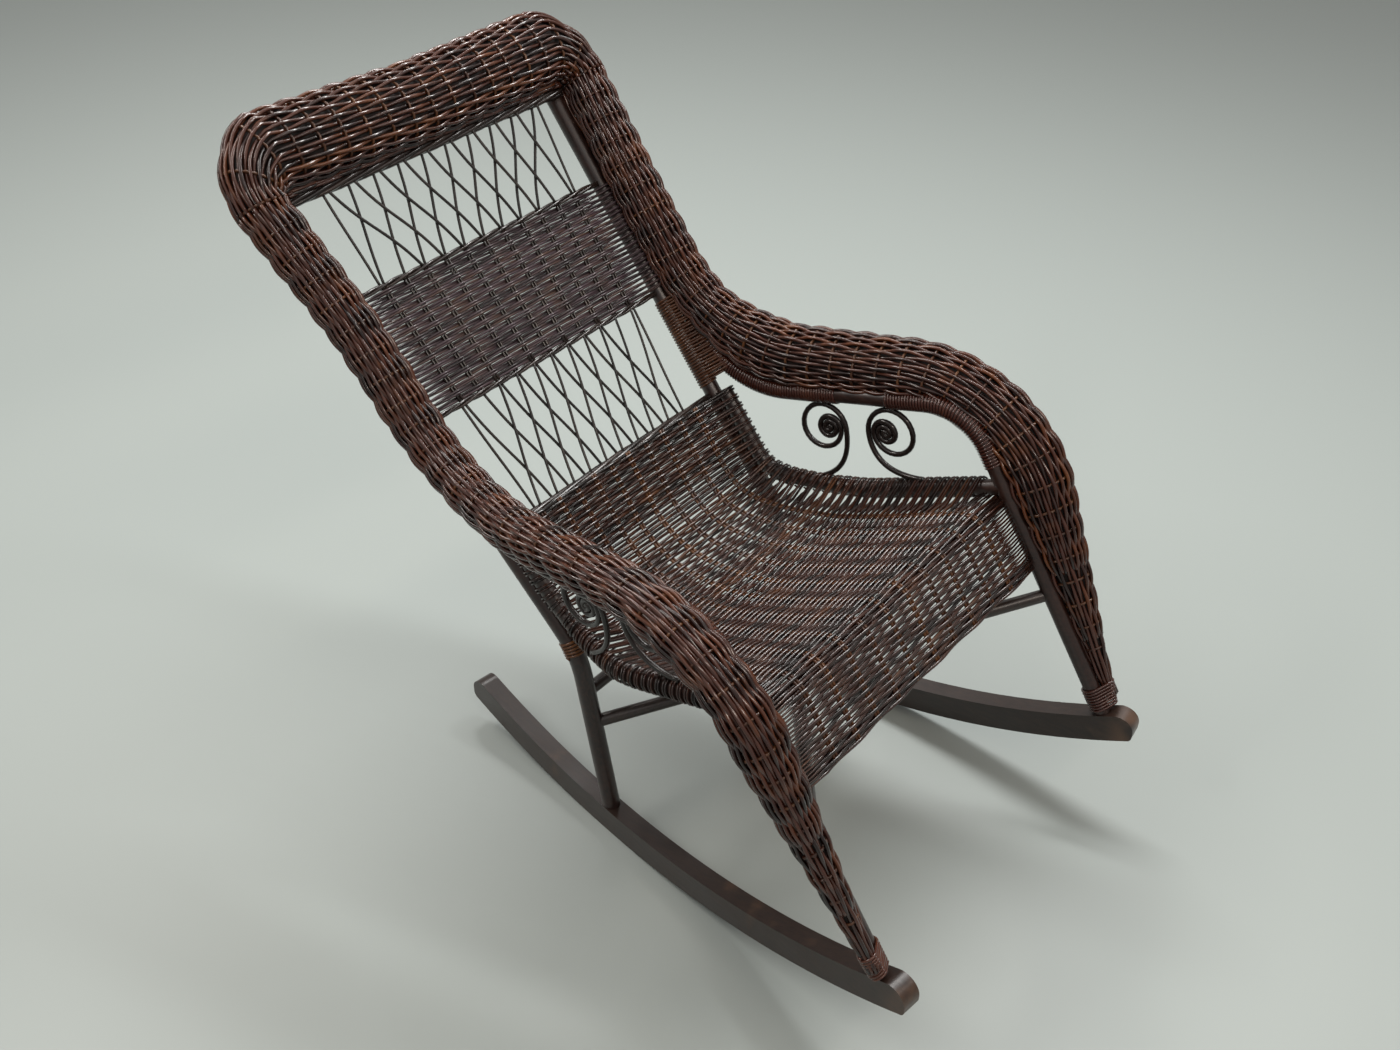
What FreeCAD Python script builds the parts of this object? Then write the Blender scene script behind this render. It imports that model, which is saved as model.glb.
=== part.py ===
import FreeCAD, Part
import math
import os
import Sketcher
from FreeCAD import Placement, Rotation, Vector

# Wicker rocking chair, standing at rest on its two curved runners.
# Origin on the floor under the middle of the chair, front towards -Y, +X to the sitter's left, +Z up.
# A set-back is measured towards the back from the front tips of the runners.

doc = FreeCAD.newDocument("wicker_rocking_chair")
sheet = doc.addObject("Spreadsheet::Sheet", "Sizes")

driving_sizes = {
    "front_reach": 572.4,         # front tips of the runners to the origin
    "fit_gap": 0.3,               # play between a woven form and the pole that it lies on
    "weave_gap": 0.9,             # play under the seat's lip and apron
    "edge_gap": 0.6,              # play at the side edges of the seat
    "rocker_radius": 1140,        # underside of a runner
    "rocker_front_run": 555,      # front tip to the point that stands on the floor
    "rocker_rear_run": 314,       # that point to the rear tip
    "rocker_high": 44,
    "rocker_thick": 28,
    "rocker_front_half": 293,     # middle plane of a runner at its front tip, from the chair's middle
    "rocker_toe_in": 6.9,         # degrees, runners closer together at the back
    "rocker_nose_round": 22,
    "rocker_heel_round": 9,
    "tenon_dia": 16,
    "tenon_long": 22,
    "tenon_play": 0.4,
    "post_dia": 26,
    "post_foot_setback": 551,
    "post_bend_round": 150,
    "rear_leg_lean": 12.5,        # degrees from upright, below the bend of the post
    "back_recline": 42.3,         # degrees from upright
    "back_setback": 738,          # post axis at the height of the seat back rail
    "back_height": 446,
    "post_half": 229,             # post axis from the middle at the seat back rail
    "post_top_half": 254,         # post axis from the middle at the top of the post
    "post_long": 548,             # seat back rail to the top of the post
    "arm_dia": 24,
    "arm_slope": 16.2,            # degrees, rising to the front
    "arm_end_up": 67.7,           # straight end of the arm bow up the post, above its elbow
    "arm_elbow_round": 170,
    "arm_knee_round": 96,
    "arm_knee_setback": 335,
    "arm_knee_height": 573,
    "arm_knee_half": 283.5,
    "foot_setback": 52,
    "bare_start": 128,            # bare stretch of the arm, measured back from the knee
    "bare_long": 84,
    "wrap_thick": 1.2,
    "wrap_down_leg": 92,          # knee to the lower end of the arm's cane wrap
    "arm_turn": 38,               # degrees, way that the arm bow lies from a post, sideways to forwards
    "roll_forward": 34,           # middle of the roll in front of the post
    "roll_top_out": 41,           # and beside it, at the crest
    "roll_mid_out": 27,           # and half way down the back
    "roll_mid_forward": 38,
    "roll_mid_up": 320,
    "roll_mid_round": 1200,
    "roll_elbow_half": 14.2,      # corner of the roll beside, behind and above the arm's elbow
    "roll_elbow_setback": 28.1,
    "roll_elbow_height": 48.9,
    "roll_elbow_round": 260,
    "roll_knee_half": 43.5,       # corner of the roll beside, behind and above the arm's knee
    "roll_knee_setback": -31,
    "roll_knee_height": 30,
    "roll_knee_round": 212,
    "back_roll_turn": 38,         # degrees, way that the roll's width lies from sideways, down its length
    "low_back_turn": 42,
    "elbow_turn": 54,
    "elbow_end_turn": 60,
    "arm_start_turn": 56,
    "arm_mid_turn": 50,
    "arm_end_turn": 44,
    "knee_turn": 42,
    "leg_roll_turn": 40,          # and way that its foot lies from the leg
    "roll_wall": 7,               # woven skin of the hollow crest and back rolls
    "side_roll_dia": 68,
    "side_roll_wide": 74,
    "side_roll_deep": 63,
    "elbow_roll_wide": 92,
    "arm_roll_wide": 94,
    "arm_roll_deep": 61,
    "knee_roll_wide": 91,
    "knee_roll_deep": 66,
    "foot_roll_dia": 18,
    "foot_roll_lift": 44,
    "crest_roll_high": 110,
    "crest_roll_deep": 76,
    "crest_up": 575,              # middle of the crest roll at its ends, up the back
    "crest_dip": 7,
    "crest_inner_round": 10,
    "corner_swell": 1.5,          # power by which the roll grows round a corner
    "rail_dia": 18,
    "crest_rail_dia": 15,
    "crest_rail_turn": 105,       # degrees, place of the crest rail round the crest roll
    "band_top_off": 7,            # upper edge of the band in front of the posts
    "band_low_off": 3,
    "band_low": 184,
    "band_high": 176,
    "band_thick": 7,
    "band_rail_dia": 9,
    "reed_dia": 3.2,
    "reed_sides": 8,              # a lattice reed is split and shaved, not round
    "upper_top_pitch": 43,
    "lattice_pitch": 36.6,
    "lower_pitch": 34,
    "lattice_ways": 10,
    "lattice_shift": 1.5,         # steps that a reed moves sideways on its way to the next rail
    "reed_pair_gap": 6,
    "seat_rail_dia": 23,
    "seat_rail_drop": 141,        # low corner of the side rail, down the post from the seat back rail
    "seat_rail_rise": 2,          # upper end of the side rail, up the post
    "seat_rail_mid_setback": 123.9, # low corner of the side rail to its middle
    "seat_rail_mid_height": 366,
    "seat_rail_front_height": 470,
    "seat_rail_round": 35.4,      # runs of the side rail's bends on each side of their corners
    "seat_mid_round": 54,
    "seat_thick": 7,
    "seat_sag": 26,
    "seat_stations": 9,           # cross sections of the scooped part of the seat
    "lip_sag": 5,
    "seat_low_round": 49.9,       # runs of the seat's bends on each side of their corners
    "lip_round": 28.1,
    "front_rail_dia": 22,
    "apron_rail_dia": 16,
    "apron_height": 104,          # front end of the seat's side rail to the lower edge of the apron
    "apron_forward": 7,
    "stretcher_dia": 19,
    "rear_stretcher_height": 240,
    "diagonal_rear_height": 196,
    "diagonal_front_height": 32,  # below the lower edge of the apron, at the front leg
    "screw_dia": 4,
    "screw_short": 4,             # lower end of the screw above the underside of the lower stretcher
    "scroll_dia": 6.5,
    "scroll_sides": 6,            # a scroll's reed is cut with flats
    "scroll_gap": 19,             # half the space between the two scrolls of an arm
    "scroll_loop": 74,            # outer loop of a scroll, across its middle line
    "scroll_second": 65,
    "scroll_coil": 33,            # first turn of the tight middle coil
    "scroll_coil_step": 7.3,
    "scroll_coil_turns": 4,       # half turns of the middle coil
    "scroll_tail_reach": 80,      # end of the tail on the rail, from the foot of the scroll
    "scroll_tail_round": 69,      # run of the tail's bend on each side of its corner
    "scroll_front_space": 114.4,  # height under the arm that the front scrolls are drawn for
    "scroll_rear_space": 123.3,   # and the rear ones
    "scroll_setback": 514,
    "post_binding_share": 0.62,   # middle of the post's binding, along the bend
    "binding_long": 24,
}
for row, (alias, value) in enumerate(driving_sizes.items(), start=1):
    sheet.set("A%d" % row, alias)
    sheet.set("B%d" % row, str(value))
    sheet.setAlias("B%d" % row, alias)
doc.recompute()

nodes = []


def size(alias):
    return float(sheet.get(alias))


def keep(part, label):
    part.Label = label
    nodes.append(part)
    return part


def mirrored(point, side):
    return Vector(side * point.x, point.y, point.z)


def unit(vector):
    return Vector(vector) / vector.Length


# Main lines of the chair, for the side where x is positive

gap = size("fit_gap")
across = Vector(1, 0, 0)
lean = math.radians(size("back_recline"))
up_back = Vector(0, math.sin(lean), math.cos(lean))
off_back = Vector(0, -math.cos(lean), math.sin(lean))
slope = math.radians(size("arm_slope"))
along_arm = Vector(0, math.cos(slope), -math.sin(slope))
off_arm = Vector(0, math.sin(slope), math.cos(slope))
post_r = size("post_dia") / 2
arm_r = size("arm_dia") / 2
wrap = size("wrap_thick")


def setback(value):
    return value - size("front_reach")


def back_point(up, off=0.0, x=0.0):
    origin = Vector(x, setback(size("back_setback")), size("back_height"))
    return origin + up_back * up + off_back * off


def post_half(up):
    share = up / size("post_long")
    return size("post_half") + (size("post_top_half") - size("post_half")) * share


def post_point(up, out=0.0, off=0.0):
    return back_point(up, off, post_half(up) + out)


def rocker_half(y):
    toe = math.tan(math.radians(size("rocker_toe_in")))
    return size("rocker_front_half") - toe * (y - setback(0))


contact_y = setback(size("rocker_front_run") * math.cos(math.radians(size("rocker_toe_in"))))


def rocker_top(y):
    run = (y - contact_y) / math.cos(math.radians(size("rocker_toe_in")))
    inner = size("rocker_radius") - size("rocker_high")
    return size("rocker_radius") - math.sqrt(inner * inner - run * run)


def foot_point(y):
    return Vector(rocker_half(y), y, rocker_top(y))


post_foot = foot_point(setback(size("post_foot_setback")))
front_foot = foot_point(setback(size("foot_setback")))
knee = Vector(size("arm_knee_half"), setback(size("arm_knee_setback")), size("arm_knee_height"))
leg_way = unit(knee - front_foot)

# The arm bow runs up beside the post on the outer front side of it
arm_off = post_r + arm_r + 2 * wrap + gap
arm_turn = math.radians(size("arm_turn"))
arm_out = arm_off * math.cos(arm_turn)
arm_forward = arm_off * math.sin(arm_turn)


def meet_in_side_view(point_a, way_a, point_b, way_b):
    # Distance along line a at which it meets line b, seen from the side
    cross = way_a.y * way_b.z - way_a.z * way_b.y
    gone = point_b - point_a
    return (gone.y * way_b.z - gone.z * way_b.y) / cross


arm_side = post_point(0, arm_out, arm_forward)
elbow_up = meet_in_side_view(arm_side, up_back, knee, along_arm)
elbow = arm_side + up_back * elbow_up
elbow_bend = size("arm_elbow_round") / math.tan(up_back.getAngle(-along_arm) / 2)
arm_top = post_point(elbow_up + elbow_bend + size("arm_end_up"), arm_out, arm_forward)
arm_way = unit(elbow - knee)


def leg_at(height):
    return front_foot + leg_way * ((height - front_foot.z) / leg_way.z)


def bent_wire(corners, radii):
    # Straight runs joined by tangent arcs
    edges = []
    start = corners[0]
    for before, corner, after, radius in zip(corners, corners[1:], corners[2:], radii):
        back = unit(before - corner)
        ahead = unit(after - corner)
        half = back.getAngle(ahead) / 2
        first = corner + back * (radius / math.tan(half))
        last = corner + ahead * (radius / math.tan(half))
        middle = corner + unit(back + ahead) * (radius / math.sin(half) - radius)
        edges.append(Part.LineSegment(start, first).toShape())
        edges.append(Part.Arc(first, middle, last).toShape())
        start = last
    edges.append(Part.LineSegment(start, corners[-1]).toShape())
    return Part.Wire(edges)


def bend_rounds(corners, bend_runs):
    # Radii of bends that take up a given run on each side of their corners
    radii = []
    for before, corner, after, run in zip(corners, corners[1:], corners[2:], bend_runs):
        radii.append(run * math.tan((before - corner).getAngle(after - corner) / 2))
    return radii


def facing(way, sideways):
    return Rotation(sideways, Vector(), way, "ZXY")


def pole(name, wire, radius, sides=None):
    # A bent pole whose radius is an expression on the sheet, round or with flat sides
    path = doc.addObject("Part::Feature", name + "_path")
    path.Shape = wire
    first = wire.OrderedEdges[0]
    way = first.tangentAt(first.FirstParameter)
    start = first.valueAt(first.FirstParameter)
    if sides:
        ring = doc.addObject("Part::RegularPolygon", name + "_ring")
        ring.setExpression("Polygon", sides)
        ring.setExpression("Circumradius", radius)
    else:
        ring = doc.addObject("Part::Circle", name + "_ring")
        ring.setExpression("Radius", radius)
    ring.Placement = Placement(start, Rotation(Vector(0, 0, 1), way))
    rod = doc.addObject("Part::Sweep", name)
    rod.Sections = [ring]
    rod.Spine = (path, ["Edge%d" % (i + 1) for i in range(len(wire.Edges))])
    rod.Solid = True
    return rod


def straight_pole(name, start, end, dia):
    rod = doc.addObject("Part::Cylinder", name)
    rod.setExpression("Radius", "Sizes.%s / 2" % dia)
    rod.Height = (end - start).Length
    rod.Placement = Placement(start, Rotation(Vector(0, 0, 1), end - start))
    return rod


def cut(name, base, tool):
    piece = doc.addObject("Part::Cut", name)
    piece.Base = base
    piece.Tool = tool
    return piece


def joined(name, pieces):
    piece = doc.addObject("Part::MultiFuse", name)
    piece.Shapes = pieces
    return piece


def sleeve(label, wire, dia, beside=None):
    # A layer of wound cane round a pole, let in where another pole comes beside it
    outer = pole(label + "_outer", wire, "Sizes.%s / 2 + Sizes.wrap_thick" % dia)
    inner = pole(label + "_inner", wire, "Sizes.%s / 2 + Sizes.fit_gap / 2" % dia)
    layer = cut(label + "_layer", outer, inner)
    if beside:
        layer = cut(label + "_let_in", layer, beside)
    return keep(layer, label)


# Runners: an arched board with a rounded nose and heel, toed in towards the back

def find_edges(shape, test):
    return ["Edge%d" % (i + 1) for i, edge in enumerate(shape.Edges) if test(edge)]


def rocker_board(name, side):
    body = doc.addObject("PartDesign::Body", name + "_board")
    plane = [o for o in body.Origin.OriginFeatures if o.Role == "YZ_Plane"][0]
    sketch = body.newObject("Sketcher::SketchObject", name + "_outline")
    sketch.AttachmentSupport = (plane, [""])
    sketch.MapMode = "FlatFace"
    radius = size("rocker_radius")
    inner = radius - size("rocker_high")
    ends = (-size("rocker_front_run"), size("rocker_rear_run"))
    angles = [math.atan2(-math.sqrt(radius ** 2 - run ** 2), run) for run in ends]
    top_angles = [math.atan2(-math.sqrt(inner ** 2 - run ** 2), run) for run in ends]
    hub = Vector(0, radius, 0)
    turn = Vector(0, 0, 1)
    sketch.addGeometry(Part.ArcOfCircle(Part.Circle(hub, turn, radius), angles[0], angles[1]))
    sketch.addGeometry(Part.ArcOfCircle(Part.Circle(hub, turn, inner), top_angles[0], top_angles[1]))
    points = [hub + Vector(math.cos(a) * r, math.sin(a) * r, 0)
              for a, r in ((angles[0], radius), (top_angles[0], inner),
                           (angles[1], radius), (top_angles[1], inner))]
    sketch.addGeometry(Part.LineSegment(points[0], points[1]))
    sketch.addGeometry(Part.LineSegment(points[2], points[3]))
    for first, first_end, second, second_end in ((2, 1, 0, 1), (2, 2, 1, 1), (3, 1, 0, 2), (3, 2, 1, 2),
                                                 (0, 3, 1, 3)):
        sketch.addConstraint(Sketcher.Constraint("Coincident", first, first_end, second, second_end))
    bound = (
        (Sketcher.Constraint("DistanceX", -1, 1, 0, 3, 0.0), None),
        (Sketcher.Constraint("DistanceY", -1, 1, 0, 3, radius), "Sizes.rocker_radius"),
        (Sketcher.Constraint("Radius", 0, radius), "Sizes.rocker_radius"),
        (Sketcher.Constraint("Radius", 1, inner), "Sizes.rocker_radius - Sizes.rocker_high"),
        (Sketcher.Constraint("DistanceX", 0, 1, -1, 1, -ends[0]), "Sizes.rocker_front_run"),
        (Sketcher.Constraint("DistanceX", 1, 1, -1, 1, -ends[0]), "Sizes.rocker_front_run"),
        (Sketcher.Constraint("DistanceX", -1, 1, 0, 2, ends[1]), "Sizes.rocker_rear_run"),
        (Sketcher.Constraint("DistanceX", -1, 1, 1, 2, ends[1]), "Sizes.rocker_rear_run"),
    )
    for constraint, expression in bound:
        index = sketch.addConstraint(constraint)
        if expression:
            sketch.setExpression("Constraints[%d]" % index, expression)
    doc.recompute()
    pad = body.newObject("PartDesign::Pad", name + "_pad")
    pad.Profile = sketch
    pad.setExpression("Length", "Sizes.rocker_thick")
    pad.SideType = "Symmetric"
    doc.recompute()
    feature = pad
    for corner, alias in (("top", "rocker_nose_round"), ("low", "rocker_heel_round")):
        def square_corner(edge):
            if len(edge.Vertexes) < 2 or abs(edge.tangentAt(edge.FirstParameter).x) < 0.99:
                return False
            spot = edge.CenterOfMass
            edge_top = radius - math.sqrt(inner ** 2 - spot.y ** 2)
            return (abs(spot.z - edge_top) < 1) == (corner == "top")
        names = find_edges(feature.Shape, square_corner)
        round_off = body.newObject("PartDesign::Fillet", name + "_" + alias)
        round_off.Base = (feature, names)
        round_off.setExpression("Radius", "Sizes." + alias)
        doc.recompute()
        feature = round_off
    middle = Vector(side * rocker_half(contact_y), contact_y, 0)
    body.Placement = Placement(middle, Rotation(Vector(0, 0, 1), side * size("rocker_toe_in")))
    return body


def tenon(name, foot, way, dia, depth, lift=0.0):
    return straight_pole(name, foot + way * lift, foot - way * depth, dia)


frame_of = {}
for side, name in ((1, "left"), (-1, "right")):
    board = rocker_board("rocker_" + name, side)
    parts = {"board": board}

    # Back post: rear leg and back upright in one bent pole, tenoned into the runner
    top = post_point(size("post_long"))
    leg_lean = math.radians(size("rear_leg_lean"))
    low_lean = Vector(0, math.sin(leg_lean), math.cos(leg_lean))
    bend_run = meet_in_side_view(post_foot, low_lean, back_point(0), up_back)
    bend = post_foot + low_lean * bend_run
    bend.x = post_half((bend.z - size("back_height")) / up_back.z)
    rear_way = unit(bend - post_foot)
    corners = [post_foot - rear_way * size("tenon_long"), bend, top]
    corners = [mirrored(p, side) for p in corners]
    post_wire = bent_wire(corners, [size("post_bend_round")])
    parts["post_rod"] = pole("post_rod_" + name, post_wire, "Sizes.post_dia / 2")
    parts["post_curve"] = post_wire.OrderedEdges[1]
    corners[-1] = mirrored(post_point(size("post_long") + gap), side)
    parts["post_clear"] = pole("post_clear_" + name, bent_wire(corners, [size("post_bend_round")]),
                               "Sizes.post_dia / 2 + Sizes.wrap_thick + Sizes.fit_gap")

    # Arm bow: from the post, down into the arm, round the knee and down to the runner
    sunk = front_foot - leg_way * size("tenon_long")
    corners = [mirrored(p, side) for p in (arm_top, elbow, knee, sunk)]
    rounds = [size("arm_elbow_round"), size("arm_knee_round")]
    arm_wire = bent_wire(corners, rounds)
    parts["arm_rod"] = pole("arm_rod_" + name, arm_wire, "Sizes.arm_dia / 2")
    parts["arm_clear"] = pole("arm_clear_" + name, arm_wire,
                              "Sizes.arm_dia / 2 + Sizes.wrap_thick + Sizes.fit_gap")

    for key, rod, foot, way, label in (("post", "post_rod", post_foot, rear_way, "back_post_"),
                                       ("arm", "arm_rod", front_foot, leg_way, "arm_bow_")):
        foot = mirrored(foot, side)
        way = mirrored(way, side)
        coped = cut(key + "_coped_" + name, parts[rod], board)
        peg = tenon(key + "_tenon_" + name, foot, way, "tenon_dia", size("tenon_long"), size("tenon_dia"))
        parts[key] = keep(joined(label + name, [coped, peg]), label + name)
        bore = straight_pole(key + "_bore_" + name, foot + way * size("tenon_dia"),
                             foot - way * (size("tenon_long") + gap), "tenon_dia")
        bore.setExpression("Radius", "(Sizes.tenon_dia + Sizes.tenon_play) / 2")
        parts[key + "_bore"] = bore
    bores = joined("rocker_bores_" + name, [parts["post_bore"], parts["arm_bore"]])
    keep(cut("rocker_" + name, board, bores), "rocker_" + name)
    frame_of[side] = parts


def cross_rail(label, point, dia, keys=("post_rod",)):
    # A straight rail across the chair, coped to the round poles at both ends
    start = Vector(-point.x, point.y, point.z)
    rod = straight_pole(label + "_rod", start, point, dia)
    poles = joined(label + "_ends", [frame_of[s][key] for s in (1, -1) for key in keys])
    return keep(cut(label, rod, poles), label)


# The crest rail lies under the lowest part of the crest roll
crest_a = size("crest_roll_high") / 2
crest_b = size("crest_roll_deep") / 2
turn = math.radians(size("crest_rail_turn"))
under = unit(Vector(math.cos(turn) / crest_b, -math.sin(turn) / crest_a, 0))
under = under * (size("crest_rail_dia") / 2 + gap)
crest_rail_off = size("roll_forward") + crest_b * math.cos(turn) + under.x
crest_rail_up = size("crest_up") - size("crest_dip") - crest_a * math.sin(turn) + under.y

band_rail_r = size("band_rail_dia") / 2
band_top = size("band_low") + size("band_high")
band_top_rail_up = band_top + band_rail_r + gap
band_low_rail_up = size("band_low") - band_rail_r - gap
rails = (
    ("crest_rail", crest_rail_up, crest_rail_off, "crest_rail_dia"),
    ("band_top_rail", band_top_rail_up, size("band_top_off"), "band_rail_dia"),
    ("band_bottom_rail", band_low_rail_up, size("band_low_off"), "band_rail_dia"),
    ("seat_back_rail", 0, 0, "rail_dia"),
)
for label, up, off, dia in rails:
    cross_rail(label, post_point(up, 0, off), dia)

# Woven middle band of the back, let in between the posts
band_tilt = math.degrees(math.atan2(size("band_top_off") - size("band_low_off"), size("band_high")))
band = doc.addObject("Part::Box", "band_panel")
band.Length = 2 * post_half(band_top)
band.setExpression("Width", "Sizes.band_high")
band.setExpression("Height", "Sizes.band_thick")
band_off = size("band_low_off") - size("band_thick") / 2
band_corner = back_point(size("band_low"), band_off, -post_half(band_top))
band.Placement = Placement(band_corner, Rotation(across, 90 - size("back_recline") + band_tilt))
band_ends = joined("band_ends", [frame_of[1]["post_rod"], frame_of[-1]["post_rod"]])
keep(cut("back_band", band, band_ends), "back_band")


# Lattice: reeds leave each point of one rail in pairs and meet other pairs on the next rail

def lattice(label, v_rail, v_pitch, point_rail, point_pitch):
    # Each rail is given as its place up the back, its place off the back and its radius
    ways = int(size("lattice_ways"))
    reeds = []
    layer = (size("reed_dia") + gap) / 2
    v_up, v_off, v_r = v_rail
    point_up, point_off, point_r = point_rail
    inward = 1 if point_up > v_up else -1
    v_end = v_up + inward * (v_r + gap)
    point_end = point_up - inward * (point_r + gap)
    edge = ways / 2
    for i in range(ways):
        place = i - (ways - 1) / 2
        for way in (1, -1):
            goal = place + size("lattice_shift") * way
            overrun = max(abs(goal) - edge, 0)
            goal = max(-edge, min(edge, goal))
            step = size("reed_pair_gap") / 2
            x_start = place * v_pitch + way * step
            x_end = goal * point_pitch - way * step + 4 * way * step * (overrun > 0)
            start = back_point(v_end, v_off + way * layer, x_start)
            end = back_point(point_end, point_off + way * layer, x_end)
            reed = doc.addObject("Part::Prism", "%s_reed%d" % (label, len(reeds)))
            reed.setExpression("Polygon", "Sizes.reed_sides")
            reed.setExpression("Circumradius", "Sizes.reed_dia / 2")
            reed.Height = (end - start).Length
            reed.Placement = Placement(start, Rotation(Vector(0, 0, 1), end - start))
            reeds.append(reed)
    group = doc.addObject("Part::Compound", label)
    group.Links = reeds
    return keep(group, label)


lattice("lattice_upper", (crest_rail_up, crest_rail_off, size("crest_rail_dia") / 2), size("upper_top_pitch"),
        (band_top_rail_up, size("band_top_off"), band_rail_r), size("lattice_pitch"))
lattice("lattice_lower", (0, 0, size("rail_dia") / 2), size("lower_pitch"),
        (band_low_rail_up, size("band_low_off"), band_rail_r), size("lower_pitch"))

# Stretchers: one across the back legs, two crossing under the seat with a screw where they meet


def rear_leg_at(height):
    return post_foot + rear_way * ((height - post_foot.z) / rear_way.z)


cross_rail("rear_stretcher", rear_leg_at(size("rear_stretcher_height")), "stretcher_dia")
apart = (size("stretcher_dia") + gap) / 2
apron_edge = size("seat_rail_front_height") - size("apron_height")
diagonal_front = apron_edge - size("diagonal_front_height")
for side, name in ((1, "left"), (-1, "right")):
    start = mirrored(rear_leg_at(size("diagonal_rear_height")), side) + Vector(0, 0, side * apart)
    end = mirrored(leg_at(diagonal_front), -side) + Vector(0, 0, side * apart)
    rod = straight_pole("diagonal_rod_" + name, start, end, "stretcher_dia")
    legs = joined("diagonal_ends_" + name, [frame_of[side]["post_rod"], frame_of[-side]["arm_rod"]])
    coped = cut("diagonal_coped_" + name, rod, legs)
    frame_of[side]["diagonal"] = coped
    frame_of[side]["diagonal_line"] = (start, end)
start, end = frame_of[1]["diagonal_line"]
share = start.x / (start.x - end.x)
crossing = start + (end - start) * share - Vector(0, 0, apart)
screw_reach = size("stretcher_dia") + gap
screw_low = crossing - Vector(0, 0, screw_reach)
screw_high = crossing + Vector(0, 0, screw_reach)
for side, name in ((1, "left"), (-1, "right")):
    bore = straight_pole("screw_bore_" + name, screw_low, screw_high, "screw_dia")
    bore.setExpression("Radius", "(Sizes.screw_dia + Sizes.fit_gap) / 2")
    label = "diagonal_stretcher_" + name
    keep(cut(label, frame_of[side]["diagonal"], bore), label)
shank_low = screw_low + Vector(0, 0, size("screw_short"))
shank = straight_pole("screw_shank", shank_low, screw_high, "screw_dia")
head = doc.addObject("Part::Cone", "screw_head")
head.setExpression("Radius1", "Sizes.screw_dia")
head.setExpression("Radius2", "Sizes.screw_dia / 2")
head.setExpression("Height", "Sizes.screw_dia / 2")
head.Placement.Base = screw_high
keep(joined("stretcher_screw", [shank, head]), "stretcher_screw")

# Seat frame: side rails that follow the post, sag and rise to the front leg, and two front rails

seat_rail_off = post_r + wrap + size("seat_rail_dia") / 2 + gap
rail_top = post_point(size("seat_rail_rise"), 0, seat_rail_off)
rail_low = post_point(-size("seat_rail_drop"), 0, seat_rail_off)
rail_front = leg_at(size("seat_rail_front_height"))
rail_mid = Vector(0, rail_low.y - size("seat_rail_mid_setback"), size("seat_rail_mid_height"))
mid_share = (rail_mid.y - knee.y) / (setback(size("back_setback")) - knee.y)
rail_mid.x = rail_front.x + (rail_low.x - rail_front.x) * mid_share
rail_corners = [rail_top, rail_low, rail_mid, rail_front]
seat_rounds = bend_rounds(rail_corners, [size("seat_rail_round"), size("seat_mid_round")])
for side, name in ((1, "left"), (-1, "right")):
    rail_wire = bent_wire([mirrored(p, side) for p in rail_corners], seat_rounds)
    rod = pole("seat_rail_rod_" + name, rail_wire, "Sizes.seat_rail_dia / 2")
    frame_of[side]["seat_rail_rod"] = rod
    frame_of[side]["seat_rail_clear"] = pole("seat_rail_clear_" + name, rail_wire,
                                             "Sizes.seat_rail_dia / 2 + Sizes.fit_gap")
    label = "seat_side_rail_" + name
    keep(cut(label, rod, frame_of[side]["arm_rod"]), label)

leg_front = Vector(0, -leg_way.z, leg_way.y)
front_top = rail_front + leg_front * size("apron_forward")
apron_low = leg_at(apron_edge) + leg_front * size("apron_forward")
apron_rail_r = size("apron_rail_dia") / 2
apron_behind = size("seat_thick") / 2 + size("lip_sag") / 2 + apron_rail_r + size("weave_gap")
apron_rail_at = apron_low + leg_way * apron_rail_r - leg_front * apron_behind
cross_rail("apron_rail", apron_rail_at, "apron_rail_dia", ["arm_rod"])

# The upper front rail lies close under the lip of the seat
to_seat = unit(Vector(0, rail_mid.y - front_top.y, rail_mid.z - front_top.z))
to_apron = unit(Vector(0, apron_low.y - front_top.y, apron_low.z - front_top.z))
lip_half = to_seat.getAngle(to_apron) / 2
lip_radius = size("lip_round") * math.tan(lip_half)
lip_to_rail = lip_radius / math.sin(lip_half) - lip_radius + (
    size("seat_thick") / 2 + size("lip_sag") + size("front_rail_dia") / 2 + size("weave_gap"))
front_rail_at = front_top + unit(to_seat + to_apron) * lip_to_rail
cross_rail("seat_front_rail", front_rail_at, "front_rail_dia", ["seat_rail_rod", "arm_rod"])

# Woven seat: a scooped sheet that hangs between the side rails and rolls down over the front

seat_corners = [Vector(0, p.y, p.z) for p in (rail_top, rail_low, rail_mid, front_top, apron_low)]
seat_bends = [size("seat_low_round"), size("seat_mid_round"), size("lip_round")]
seat_path = bent_wire(seat_corners, bend_rounds(seat_corners, seat_bends))


def seat_half(point):
    # Free half width between the rails, or between the front legs
    stops = (rail_top, rail_low, rail_mid, rail_front, apron_low)
    for behind, ahead in zip(stops, stops[1:]):
        if point.y >= ahead.y:
            break
    share = max(0.0, min(1.0, (point.y - behind.y) / (ahead.y - behind.y)))
    axis = behind.x + (ahead.x - behind.x) * share
    return axis - max(size("seat_rail_dia"), size("arm_dia")) / 2 - size("edge_gap")


def seat_section(point, way, sag):
    # Two shallow arcs across the chair and two short edges
    normal = Vector(0, way.z, -way.y)
    half = seat_half(point)
    edges = []
    ends = []
    for face in (0.5, -0.5):
        level = point + normal * (face * size("seat_thick"))
        left = level + across * half
        right = level - across * half
        edges.append(Part.Arc(left, level - normal * sag, right).toShape())
        ends.append((left, right))
    (top_left, top_right), (low_left, low_right) = ends
    edges.insert(1, Part.LineSegment(top_right, low_right).toShape())
    edges.append(Part.LineSegment(low_left, top_left).toShape())
    return Part.Wire(Part.__sortEdges__(edges))


back_sag = seat_rail_off - size("seat_thick") / 2 - size("rail_dia") / 2 - gap
scoop = size("seat_sag")
lip = size("lip_sag")
seat_runs = seat_path.OrderedEdges


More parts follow.
